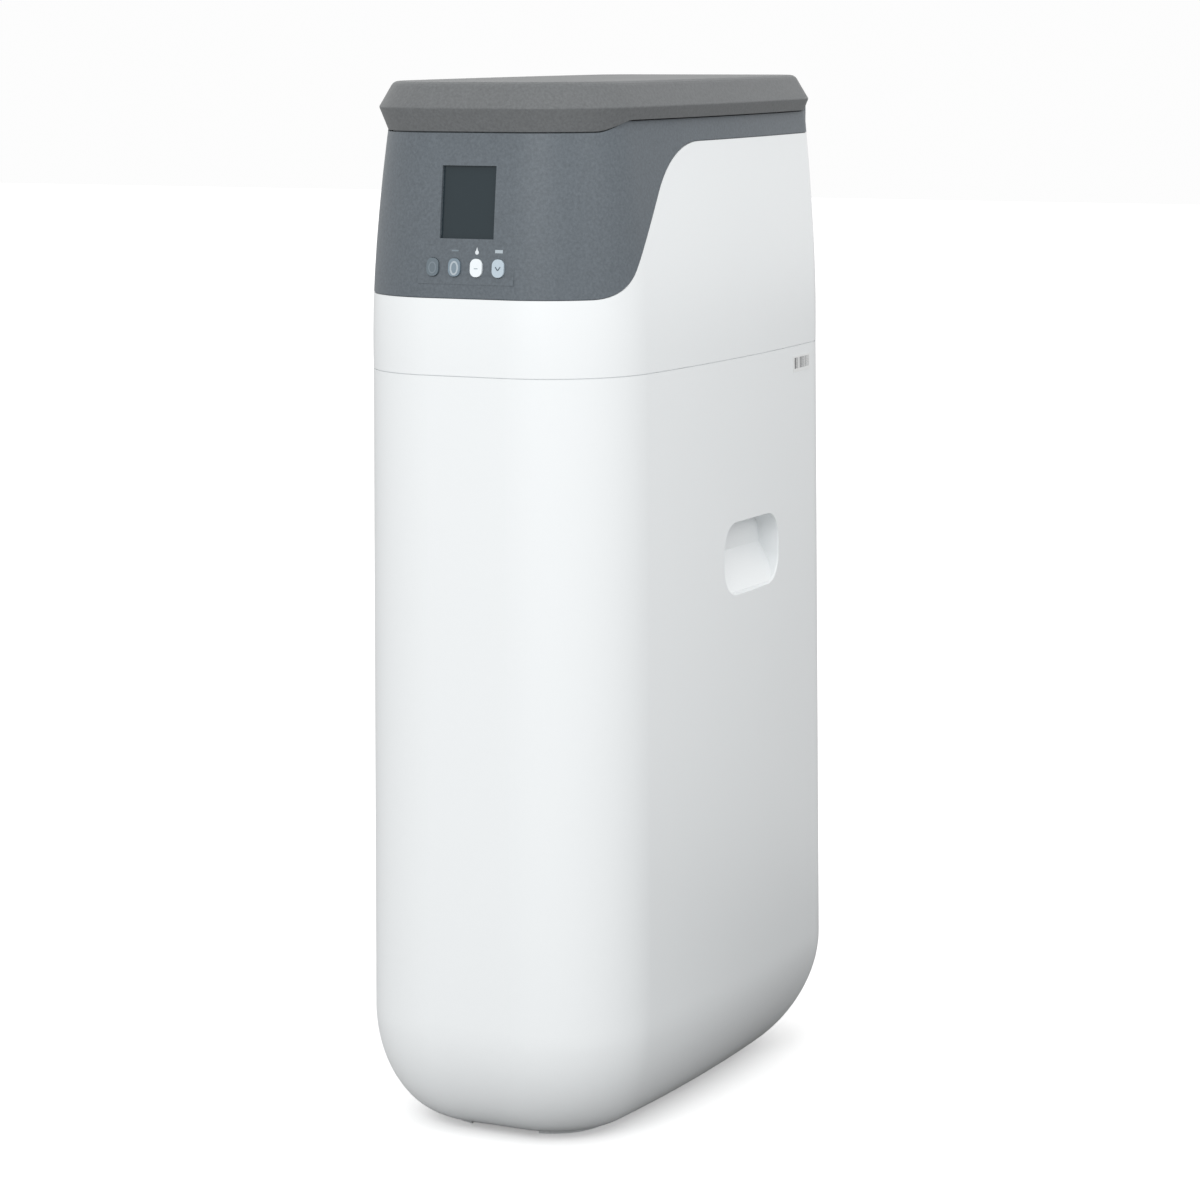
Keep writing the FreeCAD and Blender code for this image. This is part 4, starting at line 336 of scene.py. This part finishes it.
def floor_finish():
    """Pale seamless floor that bounces less light than it shows, and almost none near the cabinet, which
    paints shade on the cabinet's lower sides.
    """
    made = bpy.data.materials.new("floor_finish")
    made.use_nodes = True
    tree = made.node_tree
    tree.nodes.clear()
    cloud = step(tree, "ShaderNodeTexNoise", Vector=own_place(tree), Scale=1.5, Detail=2.0)
    tone = step(tree, "ShaderNodeMapRange", Value=cloud.outputs["Fac"], i3=0.9, i4=0.93).outputs[0]
    shown = step(tree, "ShaderNodeBsdfDiffuse", Color=grey(tree, tone))
    # Painted shade: the bounced colour is nearly black within 0.35 m of a point to the cabinet's right and
    # rising to 0.48 by 1.1 m, so the cabinet's lower sides get a painted shade.
    away = step(tree, "ShaderNodeVectorMath", {"operation": "DISTANCE"}, i0=own_place(tree),
                i1=(0.7, 0.35, 0.0))
    dim = step(tree, "ShaderNodeMapRange", Value=away.outputs["Value"], i1=0.35, i2=1.1, i3=0.02, i4=0.48)
    bounced = step(tree, "ShaderNodeBsdfDiffuse", Color=grey(tree, dim.outputs[0]))
    lit = step(tree, "ShaderNodeEmission", Color=(1.0, 1.0, 1.0, 1.0), Strength=FLOOR_GLOW)
    shown = step(tree, "ShaderNodeAddShader", i0=shown.outputs[0], i1=lit.outputs[0])
    seen = step(tree, "ShaderNodeLightPath").outputs["Is Camera Ray"]
    mixed = step(tree, "ShaderNodeMixShader", i0=seen, i1=bounced.outputs[0], i2=shown.outputs[0])
    end = step(tree, "ShaderNodeOutputMaterial")
    tree.links.new(mixed.outputs[0], end.inputs["Surface"])
    return made


def label_finish():
    """White printed film with plain bars."""
    made = finish("printed_film", (0.82, 0.83, 0.83), 0.42, (GRAIN, {"Scale": 1400.0, "Fleck": 0.05}), 0.004)
    tree = made.node_tree
    surface = tree.nodes["Principled BSDF"]
    low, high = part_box("stock_label")
    ink = use(tree, BARS, Start=low.y, Length=high.y - low.y, Low=low.z + 4 * MM, High=high.z - 2 * MM)
    paper = surface.inputs["Base Color"].links[0].from_socket
    tree.links.new(blended(tree, ink.outputs[0], paper, INK_COLOUR), surface.inputs["Base Color"])
    return made


def make_finishes():
    """Every finish by the name of the slot it belongs to."""
    vessel_low, vessel_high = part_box("resin_vessel")
    axis_y = (vessel_low.y + vessel_high.y) / 2
    shell = (GRAIN, {"Scale": 420.0, "Fleck": 0.015})
    speckle = (GRAIN, {"Scale": 340.0, "Fleck": 0.75})
    fine = (GRAIN, {"Scale": 1100.0, "Fleck": 0.1})
    return {
        "white_shell": finish("white_case", (0.86, 0.885, 0.895), 0.3, shell, 0.012, 0.015, 0.12, 0.12,
                              Coat_Weight=0.15, Coat_Roughness=0.2),
        "grey_shell": finish("grey_case", (0.117, 0.137, 0.155), 0.46, speckle, 0.05, 0.08, 0.08, 0.15,
                             Specular_IOR_Level=0.35),
        "dark_glass": finish("window_glass", (0.024, 0.036, 0.043), 0.16, fine, 0.0015, 0.25, 0.04, 0.05,
                             Specular_IOR_Level=0.28),
        "key_white": finish("key_cap", (0.55, 0.62, 0.68), 0.4, fine, 0.01, 0.05, 0.08, 0.1),
        "board_green": finish("circuit_board", (0.02, 0.16, 0.06), 0.4,
                              (GRAIN, {"Scale": 300.0, "Fleck": 0.5}), 0.05),
        "steel": finish("bright_steel", (0.58, 0.58, 0.57), 0.32, (BRUSHED, {"Scale": 1.0}), 0.01, 0.08, 0.08,
                        0.2, Metallic=1.0),
        "rubber": finish("black_rubber", (0.025, 0.025, 0.026), 0.75, fine, 0.03, 0.1, 0.25, 0.1),
        "vessel_wrap": finish("wound_vessel", (0.06, 0.16, 0.36), 0.33,
                              (WOUND, {"Axis Y": axis_y, "Radius": VESSEL_RADIUS}), 0.25, 0.12, 0.15, 0.15,
                              Coat_Weight=0.4, Coat_Roughness=0.12),
        "resin": finish("resin_beads", (0.5, 0.27, 0.07), 0.4, (GRAINS, {"Scale": 1100.0}), 0.4, 0.2),
        "gravel": finish("washed_gravel", (0.4, 0.37, 0.33), 0.7, (GRAINS, {"Scale": 260.0}), 1.2, 0.25),
        "pipe_white": finish("white_fitting", (0.78, 0.79, 0.77), 0.4, fine, 0.01, 0.05, 0.2, 0.12),
        "valve_black": finish("black_fitting", (0.022, 0.023, 0.025), 0.42, fine, 0.03, 0.15, 0.18, 0.15),
        "ceramic": finish("lapped_ceramic", (0.82, 0.8, 0.74), 0.18,
                          (GRAIN, {"Scale": 2000.0, "Fleck": 0.04}), 0.002),
        "gear_white": finish("acetal_gear", (0.8, 0.78, 0.7), 0.36, fine, 0.01, 0.06),
        "knob_blue": finish("blue_knob", (0.02, 0.09, 0.42), 0.38, fine, 0.02, 0.1, 0.12, 0.15),
        "knob_red": finish("red_knob", (0.5, 0.02, 0.02), 0.38, fine, 0.02, 0.1, 0.12, 0.15),
        "tube_milky": finish("milky_tube", (0.74, 0.77, 0.78), 0.32, fine, 0.006, 0.06, 0.1, 0.1,
                             Subsurface_Weight=0.25, Subsurface_Scale=0.003),
        "float_white": finish("float_foam", (0.8, 0.8, 0.79), 0.65, (GRAINS, {"Scale": 500.0}), 0.15, 0.06),
        "label": label_finish(),
    }


def dress(node, made):
    """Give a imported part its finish."""
    PARTS[node].data.materials.clear()
    PARTS[node].data.materials.append(made)


FINISHES = make_finishes()
for part in frame["record"]["subparts"]:
    dress(part["node"], FINISHES[part["material_slot"]])

CAP_GRAIN = (GRAIN, {"Scale": 1100.0, "Fleck": 0.08})
LID_GRAIN = (GRAIN, {"Scale": 340.0, "Fleck": 0.65})
# Painted shade: the lid is the same grey plastic as the hood, given its own warmer colour and weaker sheen so
# that its upward top looks darker under the lamps.
dress("lid", finish("lid_grey_painted_shade", (0.15, 0.157, 0.161), 0.44, LID_GRAIN, 0.04, 0.06, 0.06, 0.15,
                    Specular_IOR_Level=0.2))
# Painted reflection: the four caps are one key plastic in four brightnesses. Key 3, near white, and key 4,
# paler, carry a painted reflection of a bright light on the glossy panel; key 2 has a faint painted light;
# key 1 is the darkest.
dress("key_1", finish("cap_beside_painted_reflection", (0.13, 0.165, 0.19), 0.42, CAP_GRAIN, 0.01))
dress("key_2", finish("cap_faint_painted_light", (0.2, 0.26, 0.31), 0.4, CAP_GRAIN, 0.01))
dress("key_3", finish("cap_painted_reflection", (0.82, 0.87, 0.9), 0.38, CAP_GRAIN, 0.01))
dress("key_4", finish("cap_half_painted_reflection", (0.48, 0.57, 0.64), 0.38, CAP_GRAIN, 0.01))


# ---------------------------------------------------------------- marks laid on faces

def ring(middle, half_wide, half_tall, width, sides=32):
    """A flat oval ring as faces across and up."""
    faces = []
    for index in range(sides):
        corner = []
        for turn, shrink in ((index, 0), (index + 1, 0), (index + 1, width), (index, width)):
            angle = turn * math.tau / sides
            corner.append((middle[0] + math.cos(angle) * (half_wide - shrink),
                           middle[1] + math.sin(angle) * (half_tall - shrink)))
        faces.append(corner)
    return faces


def bar(middle, wide, tall, turn=0.0):
    """A flat bar, turned about its middle."""
    corners = []
    for across, up in ((-0.5, -0.5), (0.5, -0.5), (0.5, 0.5), (-0.5, 0.5)):
        spot = Vector((across * wide, up * tall))
        spot.rotate(Matrix.Rotation(turn, 2))
        corners.append((middle[0] + spot.x, middle[1] + spot.y))
    return [corners]


def drop(middle, size):
    """A plain water drop."""
    edge = [(middle[0], middle[1] + size)]
    belly, belly_low, steps = size * 0.52, middle[1] - size * 0.35, 14
    for index in range(steps + 1):
        angle = math.radians(60 - index * 300 / steps)
        edge.append((middle[0] + math.cos(angle) * belly, belly_low + math.sin(angle) * belly))
    return [edge[::-1]]


def lay_on(name, node, faces, made, body, lift=0.12 * MM, way=1.0):
    """Lay flat faces just proud of a part's front (way 1) or back (way -1), with their edges turned down."""
    packed = PARTS[node].data
    skin = BVHTree.FromPolygons([v.co for v in packed.vertices], [p.vertices[:] for p in packed.polygons])
    shape = bmesh.new()
    for face in faces:
        rows = []
        for rise in (lift, -lift):
            row = []
            for across, up in face:
                hit, normal, _, _ = skin.ray_cast(Vector((across, -way, up)), Vector((0, way, 0)))
                row.append(shape.verts.new(hit + Vector((0, -way, 0)) * rise))
            rows.append(row)
        shape.faces.new(rows[0])
        for index in range(len(face)):
            after = (index + 1) % len(face)
            shape.faces.new((rows[0][index], rows[1][index], rows[1][after], rows[0][after]))
    bmesh.ops.recalc_face_normals(shape, faces=shape.faces)
    mesh = bpy.data.meshes.new(name)
    shape.to_mesh(mesh)
    shape.free()
    mesh.materials.append(made)
    piece = bpy.data.objects.new(name, mesh)
    bpy.context.scene.collection.objects.link(piece)
    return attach(piece, body)


def middle_of(node):
    """The middle of a part's box."""
    low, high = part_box(node)
    return (low + high) / 2


def panel_marks():
    """Rings and arrows on the keys, and small plain signs over them."""
    print_pale = finish("pale_print", (0.42, 0.48, 0.52), 0.5, CAP_GRAIN, 0.004)
    print_dark = finish("dark_print", (0.1, 0.13, 0.16), 0.5, CAP_GRAIN, 0.004)
    print_dim = finish("dim_print", (0.19, 0.23, 0.26), 0.5, CAP_GRAIN, 0.004)
    print_white = finish("white_print", (0.72, 0.76, 0.79), 0.5, CAP_GRAIN, 0.004)
    spots = [middle_of(f"key_{index}") for index in (1, 2, 3, 4)]
    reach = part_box("key_2")[1].z - spots[1].z
    centres = [(spot.x, spot.z) for spot in spots]
    # Print on the caps; the names tell which cap each mark sits on, inside or outside the painted reflection
    # on the caps.
    lay_on("ring_on_darkest_cap", "key_1", ring(centres[0], 4.6 * MM, 6.2 * MM, 1.2 * MM), print_dim, "key_one")
    lay_on("ring_on_faint_light_cap", "key_2", ring(centres[1], 5.0 * MM, 7.4 * MM, 1.9 * MM), print_pale, "key_two")
    lay_on("bar_on_reflection_cap", "key_3", bar(centres[2], 4.4 * MM, 1.1 * MM), print_pale, "key_three")
    arrow = []
    for side in (-1, 1):
        spot = (centres[3][0] + side * 1.5 * MM, centres[3][1] + 0.4 * MM)
        arrow += bar(spot, 4.8 * MM, 1.2 * MM, side * math.radians(52))
    lay_on("arrow_down", "key_4", arrow, print_dark, "key_four")
    over = [(x, z + reach + 7.0 * MM) for x, z in centres]
    lay_on("sign_dash", "upper_hood", bar(over[1], 8.0 * MM, 1.6 * MM), print_dim, "cabinet")
    lay_on("sign_drop", "upper_hood", drop(over[2], 4.2 * MM), print_white, "cabinet")
    lay_on("sign_block", "upper_hood", bar(over[3], 9.0 * MM, 3.4 * MM), print_pale, "cabinet")


# ---------------------------------------------------------------- repeated details

def repeated(name, count, radius, across, along, tall, upright):
    """A tree of nodes that sets small blocks round a circle, or rings along an axis, as one mesh."""
    tree = bpy.data.node_groups.new(name, "GeometryNodeTree")
    sockets = {}

    def entry(label, kind):
        socket = tree.interface.new_socket(name=label, in_out="INPUT", socket_type=f"NodeSocket{kind}")
        sockets[label] = socket.identifier
        return socket

    entry("Count", "Int").default_value = count
    for label, start in (("Radius", radius), ("Width", across), ("Length", along), ("Height", tall)):
        entry(label, "Float").default_value = start
    entry("Finish", "Material")
    tree.interface.new_socket(name="Geometry", in_out="OUTPUT", socket_type="NodeSocketGeometry")
    made_of, result = tree.nodes.new("NodeGroupInput"), tree.nodes.new("NodeGroupOutput")
    given = made_of.outputs
    if upright:
        points = step(tree, "GeometryNodeMeshCircle", Vertices=given["Count"], Radius=given["Radius"])
        size = step(tree, "ShaderNodeCombineXYZ", X=given["Height"], Y=given["Width"], Z=given["Length"])
        stamp = step(tree, "GeometryNodeMeshCube", Size=size.outputs[0])
        place = step(tree, "GeometryNodeInputPosition").outputs[0]
        outward = step(tree, "FunctionNodeAlignRotationToVector", {"axis": "X"}, Vector=place)
        spread = step(tree, "GeometryNodeInstanceOnPoints", Points=points.outputs[0],
                      Instance=stamp.outputs[0], Rotation=outward.outputs[0])
    else:
        pitch = step(tree, "ShaderNodeCombineXYZ", Z=given["Length"])
        points = step(tree, "GeometryNodeMeshLine", Count=given["Count"], Offset=pitch.outputs[0])
        loop = step(tree, "GeometryNodeCurvePrimitiveCircle", Resolution=40, Radius=given["Radius"])
        profile = step(tree, "GeometryNodeCurvePrimitiveCircle", Resolution=6, Radius=given["Width"])
        stamp = step(tree, "GeometryNodeCurveToMesh", Curve=loop.outputs[0])
        tree.links.new(profile.outputs[0], stamp.inputs["Profile Curve"])
        spread = step(tree, "GeometryNodeInstanceOnPoints", Points=points.outputs[0],
                      Instance=stamp.outputs[0])
    real = step(tree, "GeometryNodeRealizeInstances", Geometry=spread.outputs[0])
    painted = step(tree, "GeometryNodeSetMaterial", Geometry=real.outputs[0], Material=given["Finish"])
    tree.links.new(painted.outputs[0], result.inputs[0])
    return tree, sockets


def grown(name, tree_and_sockets, body, spot, turn, **values):
    """Grow one mesh from a tree of nodes, set it in place, and let it ride on a body."""
    tree, sockets = tree_and_sockets
    seed = bpy.data.objects.new(f"{name}_seed", bpy.data.meshes.new(f"{name}_seed"))
    bpy.context.scene.collection.objects.link(seed)
    grower = seed.modifiers.new("grower", "NODES")
    grower.node_group = tree
    for label, value in values.items():
        grower[sockets[label]] = value
    shown = seed.evaluated_get(bpy.context.evaluated_depsgraph_get())
    mesh = bpy.data.meshes.new_from_object(shown)
    seed.modifiers.remove(grower)
    bpy.data.objects.remove(seed)
    mesh.name = name
    mesh.transform(Matrix.Translation(spot) @ turn)
    piece = bpy.data.objects.new(name, mesh)
    bpy.context.scene.collection.objects.link(piece)
    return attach(piece, body)


def back_details():
    """Threads on the pipe ends, ribs on their nuts and on the well's cap, and crossed screw slots laid flat
    as dark marks, a painted shade of the recesses.
    """
    threads = repeated("thread_ridges", 7, 16.6 * MM, 0.5 * MM, 2.3 * MM, 0.0, upright=False)
    ribs = repeated("rim_ribs", 24, 19.8 * MM, 1.6 * MM, 10.0 * MM, 0.8 * MM, upright=True)
    to_back = Matrix.Rotation(math.radians(-90), 4, "X")
    for side in ("inlet", "outlet"):
        low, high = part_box(f"{side}_adapter")
        centre = (low + high) / 2
        grown(f"{side}_thread", threads, "cabinet", (centre.x, high.y - 16.0 * MM, centre.z), to_back,
              Finish=FINISHES["valve_black"])
        nut_low, nut_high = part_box("union_nuts")
        nut_middle = (nut_low.y + nut_high.y) / 2
        grown(f"{side}_nut_ribs", ribs, "cabinet", (centre.x, nut_middle, centre.z), to_back,
              Radius=(nut_high.z - nut_low.z) / 2 - 0.2 * MM, Length=(nut_high.y - nut_low.y) * 0.7,
              Finish=FINISHES["valve_black"])
    low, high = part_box("well_cap")
    grown("cap_ribs", ribs, "cap_body", ((low.x + high.x) / 2, (low.y + high.y) / 2, high.z - 11.6 * MM),
          Matrix.Identity(4), Count=36, Radius=(high.x - low.x) / 2, Length=2.4 * MM,
          Finish=FINISHES["pipe_white"])
    # Painted shade: the cross recesses of the screw heads are flat dark bars that stand in for the shade
    # inside them.
    slot_painted_shade = finish("screw_slot", (0.03, 0.03, 0.03), 0.6, CAP_GRAIN, 0.01)
    low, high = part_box("shroud_screws")
    head = 4.0 * MM
    slots = []
    for x in (low.x + head, -45.0 * MM, 45.0 * MM, high.x - head):
        for turn in (45, 135):
            slots += bar((x, (low.z + high.z) / 2), 4.4 * MM, 0.8 * MM, math.radians(turn))
    lay_on("screw_cross_painted_shade", "shroud_screws", slots, slot_painted_shade, "cabinet", lift=0.06 * MM, way=-1.0)


panel_marks()
back_details()
studio()
studio_camera()
